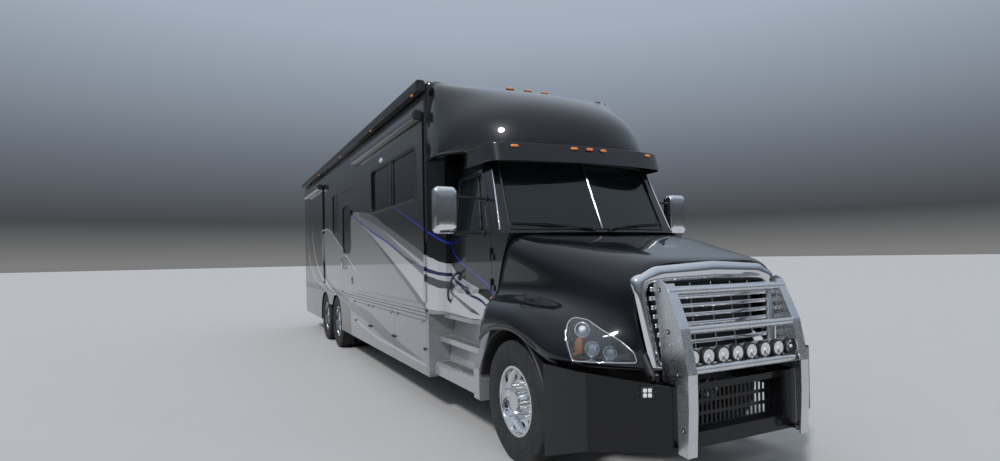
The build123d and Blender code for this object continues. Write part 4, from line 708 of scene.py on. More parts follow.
# columns: distance along the corner, height, distance out, radius
ROUND_UNITS = [(0.004, 1.215, -0.045, 0.056), (-0.070, 1.078, -0.035, 0.054),
               (-0.200, 1.052, -0.040, 0.050)]
BOWL = [(-0.045, 0.0), (-0.042, 0.35), (-0.030, 0.65), (-0.010, 0.86), (0.004, 0.90), (0.010, 0.96),
        (0.006, 1.06), (-0.004, 1.08), (-0.040, 1.08)]
LENS = [(0.022, 0.0), (0.020, 0.3), (0.014, 0.6), (0.004, 0.86), (0.002, 0.90)]
bowls, lenses = [], []
for along, height, out, r in ROUND_UNITS:
    bowls.append(aimed([(d, q * r) for d, q in BOWL], along, height, out))
    lenses.append(aimed([(d - 0.014, q * r * 0.62) for d, q in LENS], along, height, out))
piece("headlamp_bowls", bowls + mirror_x(bowls), "hood", "mirror_chrome", weld=1e-5)
piece("headlamp_lenses", lenses + mirror_x(lenses), "hood", "white_lens", weld=1e-5)
marker_line = np.array([(0.035, 1.020), (0.075, 1.030), (0.082, 1.120), (0.060, 1.160), (0.022, 1.150),
                        (0.020, 1.050)]) - np.array([0.018, 0.0])
marker_line = rounded_line(marker_line, 48, 0.010)
levels = np.array([[1.0, -0.09], [1.0, -0.045], [0.9, -0.035], [0.5, -0.031], [0.0, -0.030]])
marker_mid = marker_line.mean(0)
marker_flat = marker_mid + levels[:, None, :1] * (marker_line[None] - marker_mid)
marker = lamp_place(marker_flat[..., 0], marker_flat[..., 1], levels[:, 1:] + 0 * marker_flat[..., 0])
marker_part = (marker.reshape(-1, 3), grid_faces(len(levels), 48, False, True))
piece("headlamp_markers", [marker_part] + mirror_x([marker_part]), "hood", "amber_lens",
      weld=1e-5)
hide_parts("headlamps")

# %% [markdown]
# ## Under the hood's skin
# With the hood tipped forward, its lining over each wheel shows, and the ears that it turns on.
# They are plain turned and folded pieces, kept a little under the outer skin.

# %% Wheel linings, arch lips and ears
a = np.linspace(np.radians(12), np.radians(176), 60)
ARCH_RADIUS, WHEEL_Z = 0.622, 0.525
arch_x = np.array([0.575, 0.60, 1.19, 1.213])
arch = np.stack(np.broadcast_arrays(arch_x, ARCH_RADIUS * np.cos(a)[:, None],
                                    WHEEL_Z + ARCH_RADIUS * np.sin(a)[:, None]), -1)
lining_parts = [sheet(arch)]
lining = piece("wheel_linings", lining_parts + mirror_x(lining_parts), "hood",
               "dark_trim", outward=False)
thicken(lining, 0.008, 0.0)

LIP = [(1.222, .596, 1.00), (1.224, .50, 1.065), (1.224, .33, 1.135), (1.224, .10, 1.170),
       (1.222, -.16, 1.160), (1.214, -.38, 1.085), (1.190, -.56, 1.005), (1.150, -.69, .960)]
lip_line = smooth_line(LIP, 60)
lip_parts = [bar(lip_line, 0.016, 12, flat=1.4)]
piece("arch_lips", lip_parts + mirror_x(lip_parts), "hood", "black_paint")

ear_outline = np.array([(-1.265, .875), (-1.265, .915), (-1.165, 1.060), (-1.128, 1.060),
                        (-1.128, .960), (-1.215, .875)])
ear_line = rounded_line(ear_outline, 40, 0.008)
ear = np.stack([np.stack([np.full(40, x), ear_line[:, 0], ear_line[:, 1]], 1) for x in (.690, .712)])
ear_faces = [tuple(f) for f in grid_faces(2, 40, False, True)] + [tuple(range(40))[::-1],
                                                                  tuple(range(40, 80))]
pin = ring([(.660, 0.0), (.660, .012), (.712, .012), (.712, 0.0)], (0, -1.240, .900), 24)
ear_parts = [(ear.reshape(-1, 3), ear_faces), pin]
piece("hood_ears", ear_parts + mirror_x(ear_parts), "hood", "chassis_black")
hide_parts("hood")

# %% [markdown]
# ## Chrome round the grille, and the grille
# A broad chromed frame, bowed in plan and leaning back, holds eight bright bars. The frame is a
# rounded section carried round an outline: each place on it is a mix of an outer and an inner
# outline, pushed forward by a half sine so that it bulges like the stamped original.

# %% The nose's own surface
BOW_RADIUS = 4.807


def nose_y(x, z, back=0.0):
    """The nose's y at a width and height: an arc in plan plus the lean, and a distance back."""
    bow = BOW_RADIUS - np.sqrt(BOW_RADIUS ** 2 - np.minimum(np.abs(x), 0.9) ** 2)
    return -1.230 + bow + (z - 0.95) * math.tan(math.radians(6.0)) + back


OUTER_LINE = [(0, .925), (-.665, .925), (-.735, 1.48), (-.735, 1.60), (-.560, 1.690), (0, 1.722),
              (.560, 1.690), (.735, 1.60), (.735, 1.48), (.665, .925)]
INNER_LINE = [(0, .985), (-.560, .985), (-.632, 1.48), (-.600, 1.548), (-.45, 1.556), (0, 1.566),
              (.45, 1.556), (.600, 1.548), (.632, 1.48), (.560, .985)]


def matched_lines(outer, inner, samples, soft):
    """Both outlines sampled so that equal numbers lie between matching corners, then rounded."""
    outer, inner = np.asarray(outer, float), np.asarray(inner, float)
    n = len(outer)
    at = np.linspace(0, n, samples, endpoint=False)
    both = []
    for line in (outer, inner):
        closed = np.concatenate([line, line[:1]])
        both.append(np.stack([np.interp(at, np.arange(n + 1), closed[:, k]) for k in (0, 1)], 1))
    gap = np.abs(at[:, None] - at[None, :])
    gap = np.minimum(gap, n - gap)
    smooth = []
    for line in both:
        far = np.linalg.norm(line[:, None] - line[None], axis=-1)
        weight = np.exp(-(far / soft) ** 2) * (gap < 1.5)
        smooth.append(weight @ line / weight.sum(1)[:, None])
    return smooth


outer, inner = matched_lines(OUTER_LINE, INNER_LINE, 400, 0.035)
SECTION = [(0.0, 0.058), (0.0, 0.030), (0.02, 0.012), (0.07, 0.001), (0.16, -0.008), (0.30, -0.015),
           (0.50, -0.016), (0.70, -0.010), (0.84, 0.0), (0.93, 0.010), (0.98, 0.022), (1.0, 0.036),
           (1.0, 0.058)]
share = np.array(SECTION)[:, 0]
push = np.array(SECTION)[:, 1]
mix = outer[:, None] * (1 - share[None, :, None]) + inner[:, None] * share[None, :, None]
frame_ring = np.stack([mix[..., 0], nose_y(mix[..., 0], mix[..., 1], push[None, :] + 0.004), mix[..., 1]],
                      -1)
surround = piece("grille_frame", [(frame_ring.reshape(-1, 3),
                                   grid_faces(400, len(SECTION), True, True))],
                 "hood", "chrome")
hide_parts("grille_surround")

# %% Bars, uprights and the inner edge
bar_parts = []
BAR_PITCH = (1.545 - 1.010) / 8
for i in range(8):
    z = 1.010 + BAR_PITCH * (i + 0.5)
    reach = 0.560 + (0.072 * (z - 0.985) / 0.495) - 0.012
    reach = min(reach, 0.600) if z > 1.50 else reach
    x = np.linspace(-reach, reach, 41)
    path = np.stack([x, nose_y(x, z, 0.020), z + 0 * x], -1)
    a = np.linspace(0, 2 * np.pi, 20, endpoint=False)
    # the section: a flattened drop, fuller towards the front
    dy = 0.011 * np.cos(a) - 0.004
    dz = 0.016 * np.sin(a) * (1 - 0.25 * np.cos(a))
    rings = path[:, None] + np.stack([0 * a, dy, dz], -1)[None]
    faces = [tuple(f) for f in grid_faces(41, 20, close_columns=True)]
    faces += [tuple(range(20))[::-1], tuple(range(800, 820))]
    bar_parts.append((rings.reshape(-1, 3), faces))
for x in (-0.42, -0.21, 0.0, 0.21, 0.42):
    z = np.linspace(0.975, 1.56, 21)
    bar_parts.append(bar(np.stack([x + 0 * z, nose_y(x, z, 0.048), z], -1), 0.006, 8))
bars = piece("grille_bars", bar_parts, "hood", "chrome")
inner_rim = rounded_line([(x * 0.985, (z - 1.27) * 0.985 + 1.27) for x, z in INNER_LINE], 200, 0.03)
edge = np.stack([inner_rim[:, 0], nose_y(inner_rim[:, 0], inner_rim[:, 1], 0.045), inner_rim[:, 1]], -1)
piece("grille_edge", [loop_tube(edge, 0.010)], "hood", "dark_trim")
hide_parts("grille")
print("grille bars", len(bar_parts))


# %% [markdown]
# ## The roof cap and the sun visor
# The real cap is one moulded shell that sweeps from the cab's brow up to the box's roof, so wind
# slides over it. Points were measured on it, a row for each level, and the control table is
# solved for, so that the smooth sheet runs through every one of them. The visor below is a bent
# sheet with a shallow V along its front and room behind it for lamps.

# %% The cap
def through(points):
    """The control table whose sheet runs through a table of points: with spline weights U and V,
    the table is the inverse of U times the points times the inverse of V."""
    points = np.asarray(points, float)
    u = np.linalg.inv(spline_weights(points.shape[0], points.shape[0]))
    v = np.linalg.inv(spline_weights(points.shape[1], points.shape[1]))
    return np.einsum("ai,ijk,bj->abk", u, points, v)


def level(z, places):
    """One row of points at a height."""
    return [(x, y, z) for x, y in places]


# each row runs from the middle line round to the side; rows run from the foot to the roof
CAP_POINTS = [
    level(2.90,
          [(0, .52), (.42, .56), (.80, .70), (1.09, .98), (1.25, 1.32), (1.285, 1.66), (1.285, 1.90)]),
    level(3.06,
          [(0, .55), (.41, .59), (.78, .73), (1.07, 1.00), (1.245, 1.33), (1.285, 1.67), (1.285, 1.90)]),
    level(3.27,
          [(0, .66), (.39, .70), (.73, .83), (1.02, 1.08), (1.22, 1.38), (1.28, 1.68), (1.285, 1.90)]),
    [(0, .87, 3.44), (.35, .90, 3.44), (.66, 1.01, 3.44), (.93, 1.22, 3.45), (1.16, 1.47, 3.48),
     (1.26, 1.72, 3.52), (1.285, 1.90, 3.56)],
    [(0, 1.16, 3.585), (.30, 1.18, 3.585), (.58, 1.26, 3.59), (.83, 1.40, 3.61), (1.07, 1.58, 3.65),
     (1.21, 1.76, 3.70), (1.28, 1.90, 3.76)],
    [(0, 1.51, 3.71), (.26, 1.52, 3.71), (.51, 1.56, 3.715), (.74, 1.63, 3.725), (.96, 1.72, 3.745),
     (1.12, 1.81, 3.775), (1.23, 1.90, 3.815)],
    level(3.82,
          [(0, 1.90), (.25, 1.90), (.50, 1.90), (.73, 1.90), (.95, 1.90), (1.08, 1.90), (1.18, 1.90)]),
]
cap_points, cap_faces = patch(through(whole_net(CAP_POINTS)), 81, 161)
cap_points[:, 0] = np.clip(cap_points[:, 0], -1.285, 1.285)
cap_points[:, 1] = np.minimum(cap_points[:, 1], 1.899)
foot = cap_points[:161]
shelf = np.stack([foot, np.where([False, True, False], 1.899, foot)])
cap_skin = piece("cap_skin", [(cap_points, cap_faces), sheet(shelf)], "chassis",
                 "black_paint", weld=1e-4)
thicken(cap_skin, CAP_WALL)
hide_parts("roof_cap")
print("cap", np.round(cap_points.min(0), 3), np.round(cap_points.max(0), 3))

# %% The visor
VISOR_HALF = [(0, .430), (.30, .455), (.62, .490), (.90, .524), (1.03, .580), (1.078, .68), (1.08, .90),
              (1.08, 1.25)]
# each row: how far it is set back, and its height
VISOR_ROWS = [(0.030, 2.716), (0.008, 2.706), (0.0, 2.705), (0.004, 2.715), (0.030, 2.800), (0.056, 2.885),
              (0.060, 2.899), (0.075, 2.899)]
visor_net = [[(x, min(y + back, 1.25), z) for x, y in VISOR_HALF] for back, z in VISOR_ROWS]
visor_net.append([(x, 1.25, 2.899) for x, y in VISOR_HALF])
visor_points, visor_faces = patch(whole_net(visor_net), 49, 121)
visor_skin = piece("visor_skin", [(visor_points, visor_faces)], "chassis", "black_paint")
thicken(visor_skin, SHELL_WALL)
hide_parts("sun_visor")


# %% Marker lamps
def pebble(centre, half, power=0.7, rows=12, columns=20, lean=0.0, turn=0.0):
    """A rounded block: x = a c(u) c(v), y = b c(u) s(v), z = h s(u), where c and s are the cosine
    and sine raised to a power with their signs kept. Then it leans about X and turns about Z."""
    u = np.linspace(-np.pi / 2, np.pi / 2, rows)[:, None]
    v = np.linspace(0, 2 * np.pi, columns, endpoint=False)[None, :]
    lift = lambda w: np.sign(w) * np.abs(w) ** power
    p = np.stack([lift(np.cos(u)) * lift(np.cos(v)), lift(np.cos(u)) * lift(np.sin(v)),
                  lift(np.sin(u)) + 0 * v], -1) * np.asarray(half, float)
    c, s = math.cos(lean), math.sin(lean)
    p = p @ np.array([[1, 0, 0], [0, c, s], [0, -s, c]])
    c, s = math.cos(turn), math.sin(turn)
    p = p @ np.array([[c, s, 0], [-s, c, 0], [0, 0, 1]])
    return (p + np.asarray(centre, float)).reshape(-1, 3), grid_faces(rows, columns, False, True)


VISOR_LAMPS = [(-.825, .560), (-.18, .486), (0.0, .475), (.18, .486), (.825, .560)]
CAP_LAMP_XS = (-.24, 0.0, .24)


def marker_row(visor, cap, cheek):
    """Lamps or their bases on visor, cap and cheeks: each pair or triple ends in half sizes."""
    (y1, half1), (y2, z2, half2), (x3, half3) = visor, cap, cheek
    parts = [pebble((x, y + y1, 2.856), half1, lean=-0.3, turn=0.12 * np.sign(x)) for x, y in VISOR_LAMPS]
    parts += [pebble((x, y2 + 0.06 * x * x, z2), half2, lean=-0.35) for x in CAP_LAMP_XS]
    return parts + [pebble((side * x3, .625, 1.366), half3) for side in (-1, 1)]


lamps = marker_row((0, (.042, .014, .016)), (1.78, 3.80, (.045, .030, .018)), (1.068, (.014, .034, .022)))
bases = marker_row((.006, (.050, .012, .022)), (1.79, 3.793, (.055, .040, .014)),
                   (1.062, (.012, .042, .028)))
piece("roof_markers", lamps, "chassis", "amber_lens", weld=1e-5)
piece("marker_bases", bases, "chassis", "dark_trim", weld=1e-5)
print("marker lamps", len(lamps))

# %% [markdown]
# ## Tyres
# A road tyre is moulded in rubber: bulged sidewalls with rings pressed into them, and a tread cut
# by grooves all round. The section is turned about the axle, then the tread's radius is lowered
# by a pulse that repeats round it, which cuts the cross grooves of the driven tyres.

# %% Tread and sidewalls
# half the section: distance from the mid plane, radius
SIDEWALL = [(.101, .2925), (.106, .298), (.114, .306), (.118, .318), (.128, .335), (.1365, .360),
            (.1378, .363), (.1400, .372), (.1412, .385), (.1422, .400), (.1432, .402),
            (.1434, .408), (.1424, .410), (.1424, .425), (.1416, .445), (.1424, .447),
            (.1418, .452), (.1404, .453), (.1375, .470), (.1330, .488), (.1300, .496),
            (.1310, .499), (.1270, .506), (.1215, .514)]
TREAD = [(.1140, .5195), (.1060, .5225), (.0800, .5245), (.0790, .5115), (.0690, .5115), (.0680, .5247),
         (.0310, .5250), (.0300, .5115), (.0200, .5115), (.0190, .5250)]


def road_tyre(x, y, pitches, depth):
    """A tyre: radius = profile radius - depth * pulse(angle * pitches) on the tread's blocks."""
    half = SIDEWALL + TREAD
    profile = np.array([(-a, r) for a, r in half] + [(a, r) for a, r in half[::-1]])
    count = pitches * 6
    points, faces = ring(profile, (0, 0, 0), count)
    grid = points.reshape(count, len(profile), 3)
    a = np.linspace(0, 2 * np.pi, count, endpoint=False)[:, None]
    phase = (a * pitches / (2 * np.pi) + 1.6 * np.abs(grid[..., 0])) % 1.0
    cut = (phase < 0.17) & (profile[None, :, 1] > 0.5195)
    radius = np.linalg.norm(grid[..., 1:], axis=-1)
    grid[..., 1:] *= ((radius - depth * cut) / radius)[..., None]
    return grid.reshape(-1, 3) + np.array([x, y, WHEEL_Z]), faces


REAR_OUTER, REAR_INNER, FRONT_MID = 1.132, 0.789, 1.046
for side, sign in (("left", 1), ("right", -1)):
    front = piece("tyre_skin_front_" + side, [road_tyre(sign * FRONT_MID, 0.0, 56, 0.003)],
                  "front_wheel_" + side, "rubber")
    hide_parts("front_tyre_" + side)
    for number, y in ((1, 7.702), (2, 9.048)):
        twin = [road_tyre(sign * x, y, 48, 0.010) for x in (REAR_OUTER, REAR_INNER)]
        rear = piece("tyre_skin_rear_%d_%s" % (number, side), twin, "rear_wheels_%d_%s" % (number, side),
                     "rubber")
        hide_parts("rear_tyres_%d_%s" % (number, side))
print("tyre section points", 2 * len(SIDEWALL + TREAD))

# %% [markdown]
# ## Mirrors
# Each mirror is a tall chromed shell on two tube arms, with a dark housing behind it and flat
# glass that looks to the rear. The shell is a rounded rectangle carried from front to back, and
# it shrinks towards its face, which gives the soft crown of a pressed shell.

# %% Mirror shells, glass and arms
def rounded_rectangle(half_a, half_b, radius, steps=9):
    """Points round a rectangle whose corners are quarter circles of a radius."""
    a = np.linspace(0, np.pi / 2, steps)
    arc = radius * np.stack([np.cos(a), np.sin(a)], 1) + [half_a - radius, half_b - radius]
    flips = [((1, 1), 1), ((-1, 1), -1), ((-1, -1), 1), ((1, -1), -1)]
    return np.concatenate([(arc * f)[::d] for f, d in flips])


def shell_along_y(outline, centre, stations):
    """An (x, z) outline carried through (distance along Y, scale) stations about a centre."""
    outline, stations = np.asarray(outline, float), np.asarray(stations, float)
    flat = stations[:, None, 1:] * outline[None]
    points = np.stack([flat[..., 0], stations[:, None, 0] + 0 * flat[..., 0], flat[..., 1]], -1)
    faces = grid_faces(len(stations), len(outline), False, True)
    return (points + np.asarray(centre)).reshape(-1, 3), faces


MIRROR_AT = (1.460, .846, 2.235)
head_line = rounded_rectangle(.1175, .230, .050)
SHELL = [(-.065, 0.0), (-.065, .5), (-.064, .80), (-.060, .92), (-.050, .975), (-.030, 1.0), (.020, 1.0),
         (.022, .985), (.022, .90)]
HOUSING = [(.018, .90), (.018, .975), (.024, .985), (.050, .97), (.062, .94), (.065, .90), (.060, .88),
           (.056, .87)]
GLASS_FACE = [(.056, .88), (.057, .86), (.057, 0.0)]
ARM_LEVELS = (2.360, 2.010)
shell = shell_along_y(head_line, MIRROR_AT, SHELL)
housing = shell_along_y(head_line, MIRROR_AT, HOUSING)
face = shell_along_y(head_line, MIRROR_AT, GLASS_FACE)
arms = []
for z in ARM_LEVELS:
    root = 1.052 - 0.109 * (z - 1.99)
    path = [(root, .851, z), (root + .02, .851, z), (1.25, .853, z + .012), (1.40, .851, z + .010),
            (1.46, .850, z + .008)]
    arms.append(bar(smooth_line(path, 24), 0.0135, 12))
    arms.append(pebble((root + .004, .851, z), (.012, .034, .030)))
post = bar([(1.46, .850, 2.012), (1.46, .850, 2.12), (1.46, .850, 2.30), (1.46, .850, 2.366)], 0.012, 12)
for side, sign in (("left", 1), ("right", -1)):
    flip = (lambda parts: parts) if sign > 0 else mirror_x
    body = "cab_door_" + side
    head = piece("mirror_shell_" + side, flip([shell]), body, "mirror_chrome", weld=1e-5)
    piece("mirror_housing_" + side, flip([housing]), body, "dark_trim", weld=1e-5)
    piece("mirror_face_" + side, flip([face]), body, "mirror_chrome", weld=1e-5)
    piece("mirror_arms_" + side, flip(arms + [post]), body, "dark_trim")
    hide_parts("mirror_" + side)
print("mirror outline points", len(head_line))

# %% [markdown]
# ## Frames round the windows
# Rubber and black metal frames hide each pane's edge. A frame is a small section carried round
# the window's outline: every outline point is moved along its own outward direction.

# %% Frames on the side walls
def window_line(y, z, radius):
    """A rounded window's outline in (y, z)."""
    middle = [(y[0] + y[1]) / 2, (z[0] + z[1]) / 2]
    return rounded_rectangle((y[1] - y[0]) / 2, (z[1] - z[0]) / 2, radius) + middle


def side_frame(side, x, line, section, lean=0.0):
    """A section of (outward in the wall, away from it) carried round a (y, z) line on a wall at
    x, which leans in by a share of the height over the belt."""
    line = np.asarray(line, float)
    along = np.roll(line, -1, 0) - np.roll(line, 1, 0)
    along /= np.linalg.norm(along, axis=1)[:, None]
    out = np.stack([along[:, 1], -along[:, 0]], 1)
    out *= np.sign(((line - line.mean(0)) * out).sum())
    section = np.asarray(section, float)
    flat = line[:, None] + section[None, :, :1] * out[:, None]
    depth = x + section[None, :, 1] - lean * (flat[..., 1] - 1.99)
    points = np.stack([side * depth, flat[..., 0], flat[..., 1]], -1)
    return points.reshape(-1, 3), grid_faces(len(line), len(section), True, True)


FRAME = [(-.004, -.016), (-.004, .003), (.001, .006), (.022, .006), (.028, .002), (.028, -.002)]
# columns: body, side, x of the wall, y, z, corner radius
HOUSE_FRAMES = [("slide_front", -1, 1.309, (2.23, 4.47), (2.49, 3.11), .07),
                ("slide_left", 1, 1.309, (3.10, 4.50), (2.40, 3.10), .07),
                ("slide_left", 1, 1.309, (5.60, 7.40), (2.40, 3.10), .07),
                ("chassis", -1, 1.285, (7.40, 8.00), (2.33, 3.09), .07),
                ("chassis", 1, 1.285, (9.10, 10.10), (2.25, 3.00), .07),
                ("entry_door", -1, 1.285, (6.21, 6.93), (1.91, 2.785), .15)]
for number, (body, side, x, y, z, radius) in enumerate(HOUSE_FRAMES):
    parts = [side_frame(side, x, window_line(y, z, radius), FRAME)]
    if y[1] - y[0] > 1.2:
        middle = (y[0] + y[1]) / 2
        parts.append(box((side * (x - .016), side * (x + .001)), (middle - .014, middle + .014), z, .002))
    piece("window_frame_%d" % number, parts, body, "dark_trim")

# %% The cab's windows, pillars and wipers
CAB_LEAN = 0.1092
CAB_WINDOW = [(.765, 2.035), (1.050, 2.635), (1.610, 2.635), (1.610, 2.035)]
door_line = rounded_line(CAB_WINDOW, 160, .030)
DOOR_RIM = [(-.006, -.012), (-.006, .003), (0.0, .007), (.012, .007), (.018, .002), (.018, -.002)]
quarter = bar([(1.050 - CAB_LEAN * (z - 1.99) - .006, .925 + .32 * (z - 2.035), z)
               for z in np.linspace(2.045, 2.63, 12)], 0.011, 10)
handle = [bar(smooth_line([(1.152, 1.535, 1.300), (1.176, 1.535, 1.305), (1.182, 1.545, 1.37),
                           (1.150, 1.560, 1.50), (1.082, 1.575, 1.585), (1.052, 1.578, 1.600)], 40),
              0.012, 12),
          pebble((1.152, 1.535, 1.298), (.010, .024, .022)),
          pebble((1.052, 1.578, 1.602), (.010, .024, .022)),
          pebble((1.052, 1.50, 1.545), (.008, .060, .026))]
for side, sign in (("left", 1), ("right", -1)):
    rim = [side_frame(1, 1.05, door_line, DOOR_RIM, CAB_LEAN), quarter] + handle
    piece("door_trim_" + side, rim if sign > 0 else mirror_x(rim), "cab_door_" + side,
          "dark_trim")


def screen_y(x, z, out=0.0):
    """The windshield's y: two panes that meet in a V and lean back, and a distance in front."""
    return 0.265 + 0.486 * (z - 1.99) + 0.18 * np.abs(x) - out


screen_line = rounded_line([(-.945, 2.035), (.945, 2.035), (.900, 2.745), (-.900, 2.745)], 240, .040)
x, z = screen_line.T
gasket = np.stack([x, screen_y(x, z), z], -1)
z = np.linspace(2.03, 2.75, 24)
divider = bar(np.stack([0 * z, screen_y(0, z, .004), z], -1), 0.007, 10)
pillar = bar(np.stack([1.051 - CAB_LEAN * (z - 1.99), .450 + .467 * (z - 1.99), z], -1), 0.009, 10)
piece("screen_gasket", [loop_tube(gasket, 0.011)], "chassis", "dark_trim")
piece("screen_trims", [divider, pillar] + mirror_x([pillar]), "chassis", "chrome")
blade_x = np.linspace(-.90, -.36, 28)
blade_z = 2.075 + 0.030 * (blade_x + .36) / -.54
blade = bar(np.stack([blade_x, screen_y(blade_x, blade_z, .012), blade_z], -1), 0.006, 8, flat=1.6)
arm_x = np.linspace(-.62, -.10, 20)
arm_z = np.interp(arm_x, [-.62, -.10], [2.095, 2.035])
arm = bar(np.stack([arm_x, screen_y(arm_x, arm_z, .030), arm_z], -1), np.linspace(.004, .009, 20), 8)
pivot = pebble((-.10, screen_y(.10, 2.02, .012), 2.022), (.020, .022, .018))
wipers = [blade, arm, pivot]
piece("wipers", wipers + mirror_x(wipers), "chassis", "dark_trim")
vents = []
for k in range(7):
    x = np.linspace(-.75, .75, 41)
    y = 0.085 + 0.022 * k + 0.14 * np.abs(x)
    vents.append(bar(np.stack([x, y, 1.992 + 0 * x], -1), 0.0045, 8))
piece("cowl_vents", vents, "chassis", "dark_trim")
print("cowl slats", len(vents))

# %% [markdown]
# ## Inside the cab
# Behind the glass stand a moulded dash, a steering wheel and two seats. A cushion is a crowned
# closed form: a rounded block whose sides pull in between its corners, with sewn channels
# pressed into its face. Formulas do this in one step, so no cloth simulation is needed for
# pieces that are seen only through tinted glass.

# %% Seats, dash and steering wheel
def cushion(centre, half, lean, channels, face):
    """A rounded block; its x and y shrink by 5 % midway along each side, and each sewn channel
    lowers the padded face by 12 mm times exp(-(distance / 9 mm) squared)."""
    half = np.asarray(half, float)
    p, faces = pebble((0, 0, 0), half, 0.42, 40, 96)
    share = p / half
    p[:, 0] *= 1 - 0.05 * (1 - share[:, 1] ** 2) * (1 - share[:, 2] ** 2)
    p[:, 1] *= 1 - 0.05 * (1 - share[:, 0] ** 2) * (1 - share[:, 2] ** 2)
    p[:, 2] *= 1 + 0.10 * (1 - share[:, 0] ** 2) * (1 - share[:, 1] ** 2)
    away = np.abs(p[:, None, 0] - np.asarray(channels)[None]) if channels else np.ones((len(p), 1))
    groove = np.exp(-(away / 0.009) ** 2).max(1) * (np.sign(face) * share[:, 2] > 0.1)
    p[:, 2] -= np.sign(face) * 0.012 * groove
    c, s = math.cos(lean), math.sin(lean)
    return p @ np.array([[1, 0, 0], [0, c, s], [0, -s, c]]) + np.asarray(centre), faces


# columns: name, centre (y, z), half sizes, lean, places of the sewn channels, padded side
PADS = [("pad", (1.345, 1.545), (.245, .255, .070), 0.06, [-.12, 0, .12], 1),
        ("back", (1.665, 1.925), (.240, .355, .065), 1.40, [-.12, 0, .12], -1),
        ("head", (1.735, 2.385), (.125, .090, .050), 1.45, [], -1)]
for side, sign in (("left", 1), ("right", -1)):
    x = sign * .55
    for name, centre, half, lean, channels, padded_side in PADS:
        form = cushion((x, *centre), half, lean, channels, padded_side)
        piece("seat_%s_%s" % (name, side), [form], "chassis", "cover_fabric",
                          weld=1e-5)
    stalks = [bar([(x + d, 1.712, 2.24), (x + d, 1.722, 2.30), (x + d, 1.730, 2.33)], 0.006, 8)
              for d in (-.05, .05)]
    base = [box((x - .16, x + .16), (1.18, 1.50), (1.150, 1.470), .02),
            box((x - .20, x + .20), (1.14, 1.56), (1.455, 1.478), .006)]
    piece("seat_base_" + side, base + stalks, "chassis", "dark_trim", smooth=False)

x = np.linspace(-.94, .94, 61)
DASH = [(.700, 1.500), (.575, 1.520), (.560, 1.700), (.555, 1.840), (.575, 1.900), (.640, 1.930),
        (.740, 1.918), (.800, 1.880), (.835, 1.820), (.820, 1.720), (.770, 1.600), (.730, 1.520)]
dash_line = rounded_line(DASH, 72, .022)
brow = 0.030 * np.exp(-((x - .52) / .24) ** 4)
lift = brow[:, None] * np.clip((dash_line[:, 1] - 1.80) / .12, 0, 1)
dash = np.stack(np.broadcast_arrays(x[:, None], dash_line[:, 0], dash_line[:, 1] + lift), -1)
dash_faces = [tuple(f) for f in grid_faces(61, 72, False, True)] + [tuple(range(72))[::-1],
                                                                   tuple(range(60 * 72, 61 * 72))]
legs = [box((s * .50 - .05, s * .50 + .05), (.64, .72), (1.150, 1.56), .01) for s in (-1, 1)]
dash_piece = piece("dash", [(dash.reshape(-1, 3), dash_faces)] + legs, "chassis",
                   "cabin_grey")
a = np.linspace(0, 2 * np.pi, 72, endpoint=False)
tilt = math.radians(55)
b = np.linspace(0, 2 * np.pi, 14, endpoint=False)
radial = .225 + .014 * np.cos(b)[None]
wheel = np.stack(np.broadcast_arrays(radial * np.cos(a)[:, None], radial * np.sin(a)[:, None],
                                     .014 * np.sin(b)), -1)
spokes = [bar([(0, 0, -.01), (.10 * c, .10 * s, -.004), (.222 * c, .222 * s, 0)], 0.010, 8, flat=0.6)
          for c, s in ((1, 0), (-1, 0), (0.5, -0.866), (-0.5, -0.866))]
hub = turned([(-.030, 0), (-.030, .050), (.002, .060), (.014, .052), (.020, .030), (.021, 0)], (0, 0, 0),
             40, "z")
wheel_parts = [(wheel.reshape(-1, 3), grid_faces(72, 14, True, True)), hub] + spokes
c, s = math.cos(tilt), math.sin(tilt)
turn = np.array([[1, 0, 0], [0, c, s], [0, -s, c]])
wheel_parts = [(v @ turn + np.array([.520, .915, 1.940]), f) for v, f in wheel_parts]
column = bar([(.52, .74, 1.66), (.52, .83, 1.80), (.52, .895, 1.912)], 0.026, 16)
piece("steering_wheel", wheel_parts + [column], "chassis", "dark_trim")
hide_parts("cab_interior")
print("inside pieces done")

# %% [markdown]
# ## Guard, driving lamps and bumper trims
# The guard's bolts, the row of round driving lamps and the square work lamps in the bumper are
# small turned or rounded forms. Each lamp is a black ring round a bright bowl whose surface is a
# shallow cone that waves six times round its axis, as a moulded reflector does.

# %% Driving lamps
def reflector(centre, radius, depth, waves):
    """A bowl facing -Y: y = depth (1 - r / R) (1 + 0.25 cos(waves a)) over radius r, angle a."""
    r = np.linspace(0, 1, 10)[:, None]
    a = np.linspace(0, 2 * np.pi, 48, endpoint=False)[None]
    y = depth * (1 - r) * (1 + 0.25 * np.cos(waves * a) * r)
    points = np.stack([radius * r * np.cos(a), y, radius * r * np.sin(a)], -1)
    return points.reshape(-1, 3) + np.asarray(centre), grid_faces(10, 48, False, True)


LAMP_XS = (-.500, -.357, -.214, -.071, .071, .214, .357, .500)
LAMP_RING = [(-.036, .050), (-.038, .053), (-.038, .059), (-.032, .063), (.004, .063), (.004, .050)]
rings = [ring(LAMP_RING, (x, -1.405, 1.045), 48, "y") for x in LAMP_XS]
bowls = [reflector((x, -1.441, 1.045), .051, .0065, 6) for x in LAMP_XS]
bulbs = [pebble((x, -1.437, 1.045), (.012, .006, .012)) for x in LAMP_XS]
piece("driving_lamp_rings", rings, "guard", "dark_trim")
piece("driving_lamp_bowls", bowls, "guard", "mirror_chrome")
piece("driving_lamp_bulbs", bulbs, "guard", "white_lens")

